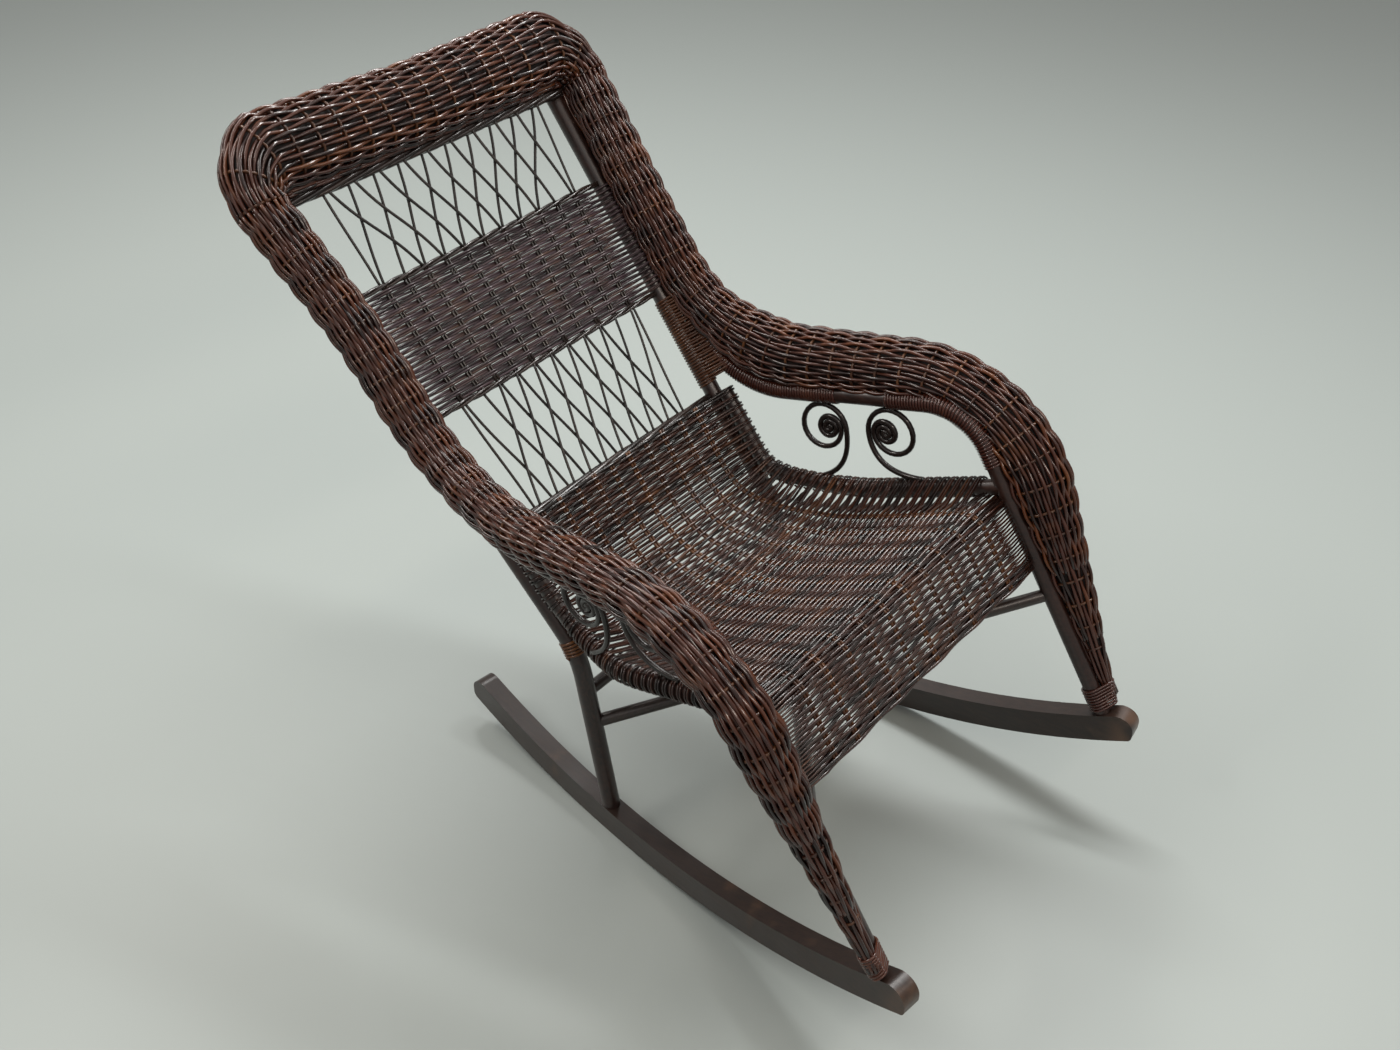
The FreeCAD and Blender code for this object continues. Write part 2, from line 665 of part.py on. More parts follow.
def seat_sheet(label, stations):
    # Each station: run of the seat's middle line, share of that run and sag of the weave across the chair
    sections = []
    for run, share, sag in stations:
        low, high = seat_runs[run].ParameterRange
        spot = low + (high - low) * share
        section = doc.addObject("Part::Feature", "%s_section%d" % (label, len(sections)))
        section.Shape = seat_section(seat_runs[run].valueAt(spot), seat_runs[run].tangentAt(spot), sag)
        sections.append(section)
    sheet_form = doc.addObject("Part::Loft", label)
    sheet_form.Sections = sections
    sheet_form.Solid = True
    keep(sheet_form, label)


def even_stations(first, last, count):
    # Stations at equal steps from the start of one run to the end of another, the sag easing to the lip's
    lengths = [seat_runs[run].Length for run in range(first, last + 1)]
    stations = []
    for k in range(count):
        left = sum(lengths) * k / (count - 1)
        run = 0
        while run < len(lengths) - 1 and left > lengths[run]:
            left -= lengths[run]
            run += 1
        ease = (k / (count - 1)) ** 3
        stations.append((first + run, min(left / lengths[run], 1.0), scoop + (lip - scoop) * ease))
    return stations


seat_sheet("seat_back_weave", ((0, 0.0, back_sag), (0, 1.0, scoop)))
seat_sheet("seat_weave", even_stations(1, 4, int(size("seat_stations"))))
seat_sheet("seat_lip", ((5, 0.0, lip), (5, 0.5, lip), (5, 1.0, lip)))
seat_sheet("seat_apron", ((6, 0.0, lip), (6, 1.0, lip / 2)))

# Hollow woven roll that edges the chair: crest, back sides, arms and front legs

side_r = size("side_roll_dia") / 2
corner_up = size("crest_up") - crest_a - size("crest_inner_round")
foot_roll_r = size("foot_roll_dia") / 2


def roll_section(name, place, way, sideways, major, minor):
    ring = doc.addObject("Part::Ellipse", name)
    ring.setExpression("MajorRadius", major)
    ring.setExpression("MinorRadius", minor)
    ring.Placement = Placement(place, facing(way, sideways))
    return ring


def roll(label, rings):
    form = doc.addObject("Part::Loft", label)
    form.Sections = rings
    form.Solid = True
    return form


def half_of(alias, wall):
    return "Sizes.%s / 2 - %s" % (alias, wall)


side_top = post_point(corner_up, size("roll_top_out"), size("roll_forward"))
side_mid = post_point(size("roll_mid_up"), size("roll_mid_out"), size("roll_mid_forward"))
roll_elbow = elbow + Vector(size("roll_elbow_half"), size("roll_elbow_setback"), size("roll_elbow_height"))
roll_knee = knee + Vector(size("roll_knee_half"), size("roll_knee_setback"), size("roll_knee_height"))
leg_turn = math.radians(size("leg_roll_turn"))
foot_off = arm_r + wrap + gap + foot_roll_r
roll_foot = front_foot + leg_way * size("foot_roll_lift") + (
    across * (foot_off * math.cos(leg_turn)) + leg_front * (foot_off * math.sin(leg_turn)))
roll_rounds = [size("roll_mid_round"), size("roll_elbow_round"), size("roll_knee_round")]

# Each stretch: label, then its sections as run, place on that run, width, depth and turn of the width
run_names = ("upper", "middle", "lower", "elbow", "arm", "knee", "leg")
places = {"start": 0, "third": 1 / 3, "half": 1 / 2, "two_thirds": 2 / 3, "end": 1}
stretches = (
    ("back_roll_",
     ("upper", "start", "side_roll_dia", "side_roll_dia", "back_roll_turn"),
     ("middle", "half", "side_roll_wide", "side_roll_deep", "back_roll_turn"),
     ("lower", "end", "side_roll_wide", "side_roll_deep", "low_back_turn")),
    ("elbow_roll_",
     ("elbow", "start", "side_roll_wide", "side_roll_deep", "low_back_turn"),
     ("elbow", "third", "side_roll_wide", "arm_roll_deep", "elbow_turn"),
     ("elbow", "two_thirds", "elbow_roll_wide", "arm_roll_deep", "elbow_end_turn"),
     ("elbow", "end", "arm_roll_wide", "arm_roll_deep", "arm_start_turn")),
    ("arm_roll_",
     ("arm", "start", "arm_roll_wide", "arm_roll_deep", "arm_start_turn"),
     ("arm", "half", "arm_roll_wide", "arm_roll_deep", "arm_mid_turn"),
     ("arm", "end", "arm_roll_wide", "arm_roll_deep", "arm_end_turn")),
    ("knee_roll_",
     ("knee", "start", "arm_roll_wide", "arm_roll_deep", "arm_end_turn"),
     ("knee", "third", "arm_roll_wide", "arm_roll_deep", "knee_turn"),
     ("knee", "two_thirds", "arm_roll_wide", "arm_roll_deep", "leg_roll_turn"),
     ("knee", "end", "knee_roll_wide", "knee_roll_deep", "leg_roll_turn")),
    ("leg_roll_",
     ("leg", "start", "knee_roll_wide", "knee_roll_deep", "leg_roll_turn"),
     ("leg", "end", "foot_roll_dia", "foot_roll_dia", "leg_roll_turn")),
)
beside_post = ("back_roll_", "elbow_roll_")
hollow = ("back_roll_",)


def right_and_left(label, piece):
    # The right-hand piece and its mirror image
    keep(piece, label + "right")
    twin = doc.addObject("Part::Mirroring", label + "left")
    twin.Source = piece
    twin.Normal = across
    keep(twin, label + "left")


right = frame_of[-1]
corners = [mirrored(p, -1) for p in (side_top, side_mid, roll_elbow, roll_knee, roll_foot)]
runs = dict(zip(run_names, bent_wire(corners, roll_rounds).OrderedEdges))


def stretch(label, table, wall):
    rings = []
    for k, (run, place, wide, deep, turned) in enumerate(table):
        edge = runs[run]
        low, high = edge.ParameterRange
        spot = low + (high - low) * places[place]
        way = edge.tangentAt(spot)
        out = -unit(across - way * way.dot(across))
        angle = math.radians(size(turned))
        wide_way = out * math.cos(angle) + out.cross(way) * math.sin(angle)
        rings.append(roll_section("%sring%d" % (label, k), edge.valueAt(spot), way, wide_way,
                                  half_of(wide, wall), half_of(deep, wall)))
    return roll(label + "form", rings)


for label, *table in stretches:
    form = stretch(label, table, 0)
    if label in hollow:
        form = cut(label + "skin", form, stretch(label + "inside_", table, "Sizes.roll_wall"))
    form = cut(label + "bedded", form, right["arm_clear"])
    if label in beside_post:
        form = cut(label + "set_in", form, right["post_clear"])
    right_and_left(label, form)

# Crest: the roll turns in at both corners, grows and dips a little in the middle
corner_x = side_top.x - side_r - size("crest_inner_round")
corner_steps = 4
oval_least = 0.02
hub = back_point(corner_up, size("roll_forward"), -corner_x)


def quartered_ring(name, place, way, sideways, major, minor):
    # An oval in four arcs, so that the loft round the corner can't twist
    oval = Part.Ellipse(place + sideways * major, place + unit(way.cross(sideways)) * minor, place)
    quarter = math.pi / 2
    arcs = [Part.ArcOfEllipse(oval, quarter * k, quarter * (k + 1)).toShape() for k in range(4)]
    ring = doc.addObject("Part::Feature", name)
    ring.Shape = Part.Wire(arcs)
    return ring


def corner_form(name, wall):
    rings = []
    for k in range(corner_steps + 1):
        angle = math.radians(90 * k / corner_steps)
        share = (k / corner_steps) ** size("corner_swell")
        major = side_r + (crest_a - side_r) * share
        minor = side_r + (crest_b - side_r) * share - oval_least
        outward = up_back * math.sin(angle) - across * math.cos(angle)
        way = -across * math.sin(angle) - up_back * math.cos(angle)
        middle_at = hub + outward * (size("crest_inner_round") + major)
        if k == 0:
            way = runs["upper"].tangentAt(runs["upper"].FirstParameter)
            outward = unit(outward - way * outward.dot(way))
        ring_name = "%s_ring%d" % (name, k)
        rings.append(quartered_ring(ring_name, middle_at, way, outward, major - wall, minor - wall))
    return roll(name, rings)


def crest_form(name, wall):
    rings = []
    for place in (1.0, 0.5, 0.0, -0.5, -1.0):
        dip = size("crest_dip") * (1 - abs(place))
        middle_at = back_point(size("crest_up") - dip, size("roll_forward"), corner_x * place)
        rings.append(roll_section("%s_ring%d" % (name, len(rings)), middle_at, -across, up_back,
                                  half_of("crest_roll_high", wall), half_of("crest_roll_deep", wall)))
    return roll(name, rings)


skin = cut("crest_corner_skin", corner_form("crest_corner_form", 0),
           corner_form("crest_corner_inside", size("roll_wall")))
right_and_left("crest_corner_", cut("crest_corner", skin, right["post_clear"]))
skin = cut("crest_skin", crest_form("crest_form", 0), crest_form("crest_inside", "Sizes.roll_wall"))
posts = joined("crest_beds", [frame_of[side]["post_clear"] for side in (1, -1)])
keep(cut("crest_roll", skin, posts), "crest_roll")

# Scrolls: a reed that rises off the side rail, makes a loop under the arm and ends in a tight coil

scroll_r = size("scroll_dia") / 2
scroll_at = knee + arm_way * ((setback(size("scroll_setback")) - knee.y) / arm_way.y)
down = rail_mid - scroll_at
down = unit(down - arm_way * down.dot(arm_way))
under_arm = arm_r + wrap + gap + scroll_r
rail_off = size("seat_rail_dia") / 2 + gap + scroll_r
half_turns = [size("scroll_loop"), size("scroll_second")]
coil_turns = int(size("scroll_coil_turns"))
half_turns += [size("scroll_coil") - k * size("scroll_coil_step") for k in range(coil_turns)]


def scroll_wire(front, side, run, space):
    def place(a, b):
        return mirrored(scroll_at - arm_way * (front * a) + down * b, side)

    def flat(point):
        gone = point - scroll_at
        return Vector(-front * gone.dot(arm_way), gone.dot(down), 0)

    near, far = sorted((flat(p) for p in run), key=lambda p: p.x)
    way = unit(far - near)
    lifted = near + Vector(way.y, -way.x, 0) * rail_off
    start_a = size("scroll_gap")

    def on_rail(a):
        return lifted.y + (a - lifted.x) * way.y / way.x

    # The scroll grows and shrinks with the height between the arm and the rail
    grow = (on_rail(start_a) - under_arm) / size(space)
    loop_mid = under_arm + grow * size("scroll_loop") / 2
    tail = [place(a, on_rail(a)) for a in (start_a + grow * size("scroll_tail_reach"), start_a)]
    tail_half = unit(tail[0] - tail[1]).getAngle(place(start_a, loop_mid) - tail[1]) / 2
    tail_round = grow * size("scroll_tail_round") * math.tan(tail_half)
    edges = bent_wire(tail + [place(start_a, loop_mid)], [tail_round]).OrderedEdges
    a = start_a
    turn_way = 1
    for across_turn in half_turns:
        goal = a + turn_way * grow * across_turn
        top = place((a + goal) / 2, loop_mid - turn_way * grow * across_turn / 2)
        edges.append(Part.Arc(place(a, loop_mid), top, place(goal, loop_mid)).toShape())
        a = goal
        turn_way = -turn_way
    return Part.Wire(edges)


for side, name in ((1, "left"), (-1, "right")):
    for front, place_name, run in ((1, "front", (rail_mid, rail_front)), (-1, "rear", (rail_low, rail_mid))):
        label = "scroll_%s_%s" % (place_name, name)
        wire = scroll_wire(front, side, run, "scroll_%s_space" % place_name)
        keep(pole(label, wire, "Sizes.scroll_dia / 2", "Sizes.scroll_sides"), label)
least = min(b - a for a, b in zip(half_turns[5:3:-1], half_turns[3:1:-1])) - size("scroll_dia")
print("least gap in a scroll coil", round(least, 2))

# Layers of wound cane round the arms, the posts and the feet

for side, name in ((1, "left"), (-1, "right")):
    bare_back = knee + arm_way * (size("bare_start") + size("bare_long"))
    bare_front = knee + arm_way * size("bare_start")
    leg_end = knee - leg_way * size("wrap_down_leg")
    bound_low = front_foot + leg_way * arm_r
    wound = (
        ("arm_wrap_rear_", [arm_top, elbow, bare_back], [size("arm_elbow_round")], "arm_dia"),
        ("arm_wrap_front_", [bare_front, knee, leg_end], [size("arm_knee_round")], "arm_dia"),
        ("post_wrap_", [post_point(size("rail_dia")), post_point(size("band_low") - size("rail_dia"))], [],
         "post_dia"),
        ("foot_binding_", [bound_low, bound_low + leg_way * size("binding_long")], [], "arm_dia"),
    )
    for label, corners, rounds, dia in wound:
        wire = bent_wire([mirrored(p, side) for p in corners], rounds)
        beside = frame_of[side]["seat_rail_clear"] if label == "arm_wrap_front_" else None
        sleeve(label + name, wire, dia, beside)

    # The post's binding lies in the bend of the post
    curve = frame_of[side]["post_curve"]
    low, high = curve.ParameterRange
    middle = low + (high - low) * size("post_binding_share")
    reach = (high - low) * size("binding_long") / curve.Length / 2
    bound = [curve.valueAt(middle + reach * k) for k in (-1, 0, 1)]
    sleeve("post_binding_" + name, Part.Wire([Part.Arc(*bound).toShape()]), "post_dia")

doc.recompute()
for thing in doc.Objects:
    if "Invalid" in thing.State or "Error" in thing.State:
        raise RuntimeError("failed: " + thing.Name)
os.makedirs("parts", exist_ok=True)
for piece in nodes:
    shape = piece.Shape
    if shape.isNull() or not shape.isValid():
        raise RuntimeError("bad shape: " + piece.Label)
    shape.exportStep("parts/%s.step" % piece.Label)
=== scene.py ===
import bpy
import bmesh
import math
import random
from mathutils import Matrix, Vector, kdtree


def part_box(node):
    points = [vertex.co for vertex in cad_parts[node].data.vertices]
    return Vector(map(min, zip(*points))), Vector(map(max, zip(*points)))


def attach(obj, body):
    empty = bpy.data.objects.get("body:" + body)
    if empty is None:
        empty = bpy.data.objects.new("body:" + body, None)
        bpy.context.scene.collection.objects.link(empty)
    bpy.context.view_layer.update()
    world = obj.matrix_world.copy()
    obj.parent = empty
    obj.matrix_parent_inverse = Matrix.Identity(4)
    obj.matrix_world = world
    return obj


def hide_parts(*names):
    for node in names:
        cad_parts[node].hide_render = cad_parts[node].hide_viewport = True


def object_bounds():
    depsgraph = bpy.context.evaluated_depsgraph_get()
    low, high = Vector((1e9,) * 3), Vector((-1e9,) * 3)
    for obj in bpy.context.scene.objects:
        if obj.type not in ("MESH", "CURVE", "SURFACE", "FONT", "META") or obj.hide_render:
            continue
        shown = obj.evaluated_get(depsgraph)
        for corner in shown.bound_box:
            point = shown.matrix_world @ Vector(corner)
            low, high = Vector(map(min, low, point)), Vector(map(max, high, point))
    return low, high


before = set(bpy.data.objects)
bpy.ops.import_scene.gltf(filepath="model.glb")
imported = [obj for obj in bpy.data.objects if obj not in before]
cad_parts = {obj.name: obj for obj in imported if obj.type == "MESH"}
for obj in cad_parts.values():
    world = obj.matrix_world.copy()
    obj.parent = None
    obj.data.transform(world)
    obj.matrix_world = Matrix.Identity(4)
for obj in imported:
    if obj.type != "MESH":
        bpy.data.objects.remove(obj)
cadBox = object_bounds()
scene = bpy.context.scene
print("frame loaded:", len(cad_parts), "nodes")

# main lines of the chair in metres and degrees; x runs to the sitter's left, y to the back
# set-backs are counted from the front, the knee is half width, set-back and height
chair = {
    "reach": .5724, "lean": 42.3, "backSetback": .738, "backHeight": .446,
    "postHalf": .229, "postTopHalf": .254, "postLong": .548, "postRadius": .013,
    "postFoot": .551, "postBend": .150, "legLean": 12.5,
    "armRadius": .012, "armSlope": 16.2, "armTurn": 38, "armEnd": .0677, "armElbowRound": .170,
    "armKneeRound": .096, "knee": (.2835, .335, .573), "footSetback": .052,
    "runnerHalf": .293, "toeIn": 6.9, "runnerRadius": 1.140, "runnerHigh": .044, "runnerFront": .555,
    "wrapThick": .0012, "gap": .0003,
}
chairSides = ((1, "left"), (-1, "right"))
across = Vector((1, 0, 0))
lean = math.radians(chair["lean"])
upBack = Vector((0, math.sin(lean), math.cos(lean)))
offBack = Vector((0, -math.cos(lean), math.sin(lean)))


def setback(value):
    return value - chair["reach"]


def backPoint(up, off=0.0, x=0.0):
    return Vector((x, setback(chair["backSetback"]), chair["backHeight"])) + upBack * up + offBack * off


def postHalf(up):
    return chair["postHalf"] + (chair["postTopHalf"] - chair["postHalf"]) * up / chair["postLong"]


def postPoint(up, out=0.0, off=0.0):
    return backPoint(up, off, postHalf(up) + out)


def runnerTop(y):
    toe = math.radians(chair["toeIn"])
    run = (y - setback(chair["runnerFront"] * math.cos(toe))) / math.cos(toe)
    inner = chair["runnerRadius"] - chair["runnerHigh"]
    half = chair["runnerHalf"] - math.tan(toe) * (y - setback(0))
    return Vector((half, y, chair["runnerRadius"] - math.sqrt(inner * inner - run * run)))


def meetSide(pointA, wayA, pointB, wayB):
    # how far along the first line it meets the second one, seen from the side
    cross = wayA.y * wayB.z - wayA.z * wayB.y
    gone = pointB - pointA
    return (gone.y * wayB.z - gone.z * wayB.y) / cross


def mirrored(point, side):
    return Vector((side * point.x, point.y, point.z))


class BentPath:
    # straight runs joined by tangent arcs, read by the distance along them
    def __init__(self, corners, rounds):
        self.parts = []
        self.starts = [0.0]
        start = Vector(corners[0])
        for before, corner, after, radius in zip(corners, corners[1:], corners[2:], rounds):
            back, ahead = (before - corner).normalized(), (after - corner).normalized()
            half = back.angle(ahead) / 2
            first = corner + back * (radius / math.tan(half))
            hub = corner + (back + ahead).normalized() * (radius / math.sin(half))
            self.add((start, (first - start).normalized(), None), (first - start).length)
            self.add((hub, (first - hub).normalized(), -back), radius * (math.pi - 2 * half), radius)
            start = corner + ahead * (radius / math.tan(half))
        self.add((start, (corners[-1] - start).normalized(), None), (corners[-1] - start).length)
        self.length = self.starts[-1]

    def add(self, part, length, radius=0.0):
        self.parts.append((*part, radius))
        self.starts.append(self.starts[-1] + length)

    def at(self, run):
        k = 0
        while k < len(self.parts) - 1 and run > self.starts[k + 1]:
            k += 1
        origin, way, turn, radius = self.parts[k]
        gone = run - self.starts[k]
        if turn is None:
            return origin + way * gone, way
        angle = gone / radius
        spoke = way * math.cos(angle) + turn * math.sin(angle)
        return origin + spoke * radius, turn * math.cos(angle) - way * math.sin(angle)

    def nearest(self, point, step=.001):
        count = int(self.length / step)
        runs = [self.length * k / count for k in range(count + 1)]
        return min(runs, key=lambda run: (self.at(run)[0] - point).length)


# arm bow, front leg and back post of the side where x is positive
armOff = chair["postRadius"] + chair["armRadius"] + 2 * chair["wrapThick"] + chair["gap"]
armTurn = math.radians(chair["armTurn"])
armBeside = (armOff * math.cos(armTurn), armOff * math.sin(armTurn))
slope = math.radians(chair["armSlope"])
alongArm = Vector((0, math.cos(slope), -math.sin(slope)))
kneeHalf, kneeSetback, kneeHeight = chair["knee"]
knee = Vector((kneeHalf, setback(kneeSetback), kneeHeight))
frontFoot = runnerTop(setback(chair["footSetback"]))
legWay = (knee - frontFoot).normalized()
legFront = Vector((0, -legWay.z, legWay.y))
armSide = postPoint(0, *armBeside)
elbowUp = meetSide(armSide, upBack, knee, alongArm)
elbow = armSide + upBack * elbowUp
elbowBend = chair["armElbowRound"] / math.tan(upBack.angle(-alongArm) / 2)
armTop = postPoint(elbowUp + elbowBend + chair["armEnd"], *armBeside)
armWay = (elbow - knee).normalized()
armPath = BentPath([armTop, elbow, knee, frontFoot], [chair["armElbowRound"], chair["armKneeRound"]])
rearFoot = runnerTop(setback(chair["postFoot"]))
legLean = math.radians(chair["legLean"])
lowLean = Vector((0, math.sin(legLean), math.cos(legLean)))
bend = rearFoot + lowLean * meetSide(rearFoot, lowLean, backPoint(0), upBack)
bend.x = postHalf((bend.z - chair["backHeight"]) / upBack.z)
postPath = BentPath([rearFoot, bend, postPoint(chair["postLong"])], [chair["postBend"]])
crestLow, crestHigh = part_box("crest_rail")
crestMiddle = (crestLow + crestHigh) / 2 - backPoint(0)
crestRailUp, crestRailOff = crestMiddle.dot(upBack), crestMiddle.dot(offBack)


def legAt(height):
    return frontFoot + legWay * ((height - frontFoot.z) / legWay.z)


poles = {"step": .003, "letIn": .001}  # strands may lie this deep in a pole
poleAxes = []
for path in (armPath, postPath):
    steps = int(path.length / poles["step"])
    poleAxes += [path.at(path.length * k / steps)[0] for k in range(steps + 1)]
poleTree = kdtree.KDTree(len(poleAxes))
for number, point in enumerate(poleAxes):
    poleTree.insert(point, number)
poleTree.balance()


def clearParts(points):
    # stretches of a strand that stay clear of the poles
    parts = [[]]
    for point in points:
        away = poleTree.find(Vector((abs(point.x), point.y, point.z)))[2]
        if away > chair["armRadius"] - poles["letIn"]:
            parts[-1].append(point)
        else:
            parts.append([])
    return [part for part in parts if len(part) > 2]


class Shade:
    # a socket with operators, so that shader maths reads as an expression
    def __init__(self, tree, socket=None):
        self.tree = tree
        self.socket = socket

    def make(self, kind, settings=None, sockets=None, output=0):
        node = self.tree.nodes.new(kind)
        for name, value in (settings or {}).items():
            if name == "stops":
                ramp = node.color_ramp
                for extra in value[2:]:
                    ramp.elements.new(extra[0])
                for element, (place, colour) in zip(ramp.elements, value):
                    element.position = place
                    element.color = (*colour, 1)
            else:
                setattr(node, name, value)
        for name, value in (sockets or {}).items():
            if isinstance(value, Shade):
                self.tree.links.new(value.socket, node.inputs[name])
            else:
                node.inputs[name].default_value = value
        return Shade(self.tree, node.outputs[output])

    def maths(self, operation, first, second=0.0):
        return self.make("ShaderNodeMath", {"operation": operation}, {0: first, 1: second})

    def feed(self, shader, name):
        self.tree.links.new(self.socket, shader.inputs[name])

    def __add__(self, other): return self.maths("ADD", self, other)
    def __radd__(self, other): return self.maths("ADD", other, self)
    def __sub__(self, other): return self.maths("SUBTRACT", self, other)
    def __rsub__(self, other): return self.maths("SUBTRACT", other, self)
    def __mul__(self, other): return self.maths("MULTIPLY", self, other)
    def __rmul__(self, other): return self.maths("MULTIPLY", other, self)


def startMaterial(name):
    material = bpy.data.materials.new(name)
    material.use_nodes = True
    tree = material.node_tree
    shader = next(n for n in tree.nodes if n.type == "BSDF_PRINCIPLED")
    return material, Shade(tree), shader


def objectPlace(shade):
    return shade.make("ShaderNodeTexCoord", output="Object")


def noise(shade, spot, scale, detail, **more):
    return shade.make("ShaderNodeTexNoise", None, {"Vector": spot, "Scale": scale, "Detail": detail, **more})


def smoothBetween(shade, value, low, high):
    return shade.make("ShaderNodeMapRange", {"interpolation_type": "SMOOTHSTEP"},
                      {"Value": value, "From Min": low, "From Max": high})


def ramp(shade, stops, factor):
    return shade.make("ShaderNodeValToRGB", {"stops": stops}, {"Fac": factor})


def blend(shade, factor, first, second):
    return shade.make("ShaderNodeMix", {"data_type": "RGBA"}, {"Factor": factor, 6: first, 7: (*second, 1)}, output=2)


def bump(shade, height, strength, deep):
    return shade.make("ShaderNodeBump", None, {"Strength": strength, "Distance": deep, "Height": height})


def lacquer(shader, weight, rough):
    shader.inputs["Coat Weight"].default_value = weight
    shader.inputs["Coat Roughness"].default_value = rough


# woven reed: each strand has its own tone, and rubbed patches show the palest one
reed = {"patchScale": 23.0, "fibreScale": 900.0, "toneShare": .895, "blotch": .77, "worn": .35,
        "wornBetween": (.5, .72), "fibreGloss": .16, "patchGloss": .2, "dents": .25, "dentDeep": .0006,
        "specular": .3, "coatRough": .12}


def reedMaterial(name, tones, rough, coat):
    material, shade, shader = startMaterial(name)
    tone = shade.make("ShaderNodeAttribute", {"attribute_name": "reedTone"}, output="Fac")
    spot = objectPlace(shade)
    patch = noise(shade, spot, reed["patchScale"], 3.0, Roughness=.6)
    fibre = noise(shade, spot, reed["fibreScale"], 2.0)
    pick = tone * reed["toneShare"] + (patch - .5) * reed["blotch"]
    colour = ramp(shade, [(k / (len(tones) - 1), c) for k, c in enumerate(tones)], pick)
    worn = smoothBetween(shade, patch, *reed["wornBetween"]) * reed["worn"]
    blend(shade, worn, colour, tones[-1]).feed(shader, "Base Color")
    gloss = rough + (fibre - .5) * reed["fibreGloss"] + (patch - .5) * reed["patchGloss"]
    gloss.feed(shader, "Roughness")
    bump(shade, fibre, reed["dents"], reed["dentDeep"]).feed(shader, "Normal")
    shader.inputs["Specular IOR Level"].default_value = reed["specular"]
    lacquer(shader, coat, reed["coatRough"])
    return material


# bent poles: grain drawn out along the pole, with rubbed patches
pole = {"grainScale": 60.0, "patchScale": 9.0, "grainBetween": (.3, .75), "patchBetween": (.45, .75),
        "grainShare": .65, "patchShare": .35, "patchGloss": .3, "grainGloss": .15, "pores": .2, "poreDeep": .0008,
        "coatRough": .2}


def poleMaterial(name, dark, light, rough, stretch, coat=.25):
    material, shade, shader = startMaterial(name)
    spot = objectPlace(shade)
    drawn = shade.make("ShaderNodeMapping", None, {"Vector": spot, "Scale": stretch})
    grain = noise(shade, drawn, pole["grainScale"], 6.0, Distortion=.4)
    patch = noise(shade, spot, pole["patchScale"], 4.0)
    mixed = (smoothBetween(shade, grain, *pole["grainBetween"]) * pole["grainShare"]
             + smoothBetween(shade, patch, *pole["patchBetween"]) * pole["patchShare"])
    ramp(shade, [(0, dark), (1, light)], mixed).feed(shader, "Base Color")
    gloss = rough + (patch - .5) * pole["patchGloss"] + (grain - .5) * pole["grainGloss"]
    gloss.feed(shader, "Roughness")
    bump(shade, grain, pole["pores"], pole["poreDeep"]).feed(shader, "Normal")
    lacquer(shader, coat, pole["coatRough"])
    return material


# runners: grain along them, scuffs, and varnish rubbed pale at the front tips
runner = {"grainScale": 26.0, "patchScale": 14.0, "stretch": (8.0, 1.0, 8.0), "noseLong": .05, "nose": .8,
          "noseBetween": (.4, .62), "scuff": .35, "scuffBetween": (.6, .74), "rough": .38, "patchGloss": .35,
          "pores": .18, "poreDeep": .001, "coat": .2, "coatRough": .25}


def runnerMaterial(name, dark, light, bare):
    material, shade, shader = startMaterial(name)
    spot = objectPlace(shade)
    drawn = shade.make("ShaderNodeMapping", None, {"Vector": spot, "Scale": runner["stretch"]})
    grain = noise(shade, drawn, runner["grainScale"], 7.0, Distortion=.6)
    patch = noise(shade, spot, runner["patchScale"], 5.0)
    place = shade.make("ShaderNodeSeparateXYZ", None, {"Vector": spot}, output="Y")
    colour = ramp(shade, [(.25, dark), (.75, light)], grain * .7 + patch * .3)
    noseY = cadBox[0][1]
    atNose = 1 - smoothBetween(shade, place, noseY, noseY + runner["noseLong"])
    nose = atNose * smoothBetween(shade, patch, *runner["noseBetween"]) * runner["nose"]
    scuff = smoothBetween(shade, patch, *runner["scuffBetween"]) * runner["scuff"]
    blend(shade, shade.maths("MAXIMUM", nose, scuff), colour, bare).feed(shader, "Base Color")
    (runner["rough"] + (patch - .5) * runner["patchGloss"]).feed(shader, "Roughness")
    bump(shade, grain, runner["pores"], runner["poreDeep"]).feed(shader, "Normal")
    lacquer(shader, runner["coat"], runner["coatRough"])
    return material


def steelMaterial(name, bright, rusty):
    material, shade, shader = startMaterial(name)
    rust = noise(shade, objectPlace(shade), 700.0, 3.0)
    ramp(shade, [(.4, bright), (.7, rusty)], rust).feed(shader, "Base Color")
    (.3 + rust * .4).feed(shader, "Roughness")
    shader.inputs["Metallic"].default_value = .9
    return material


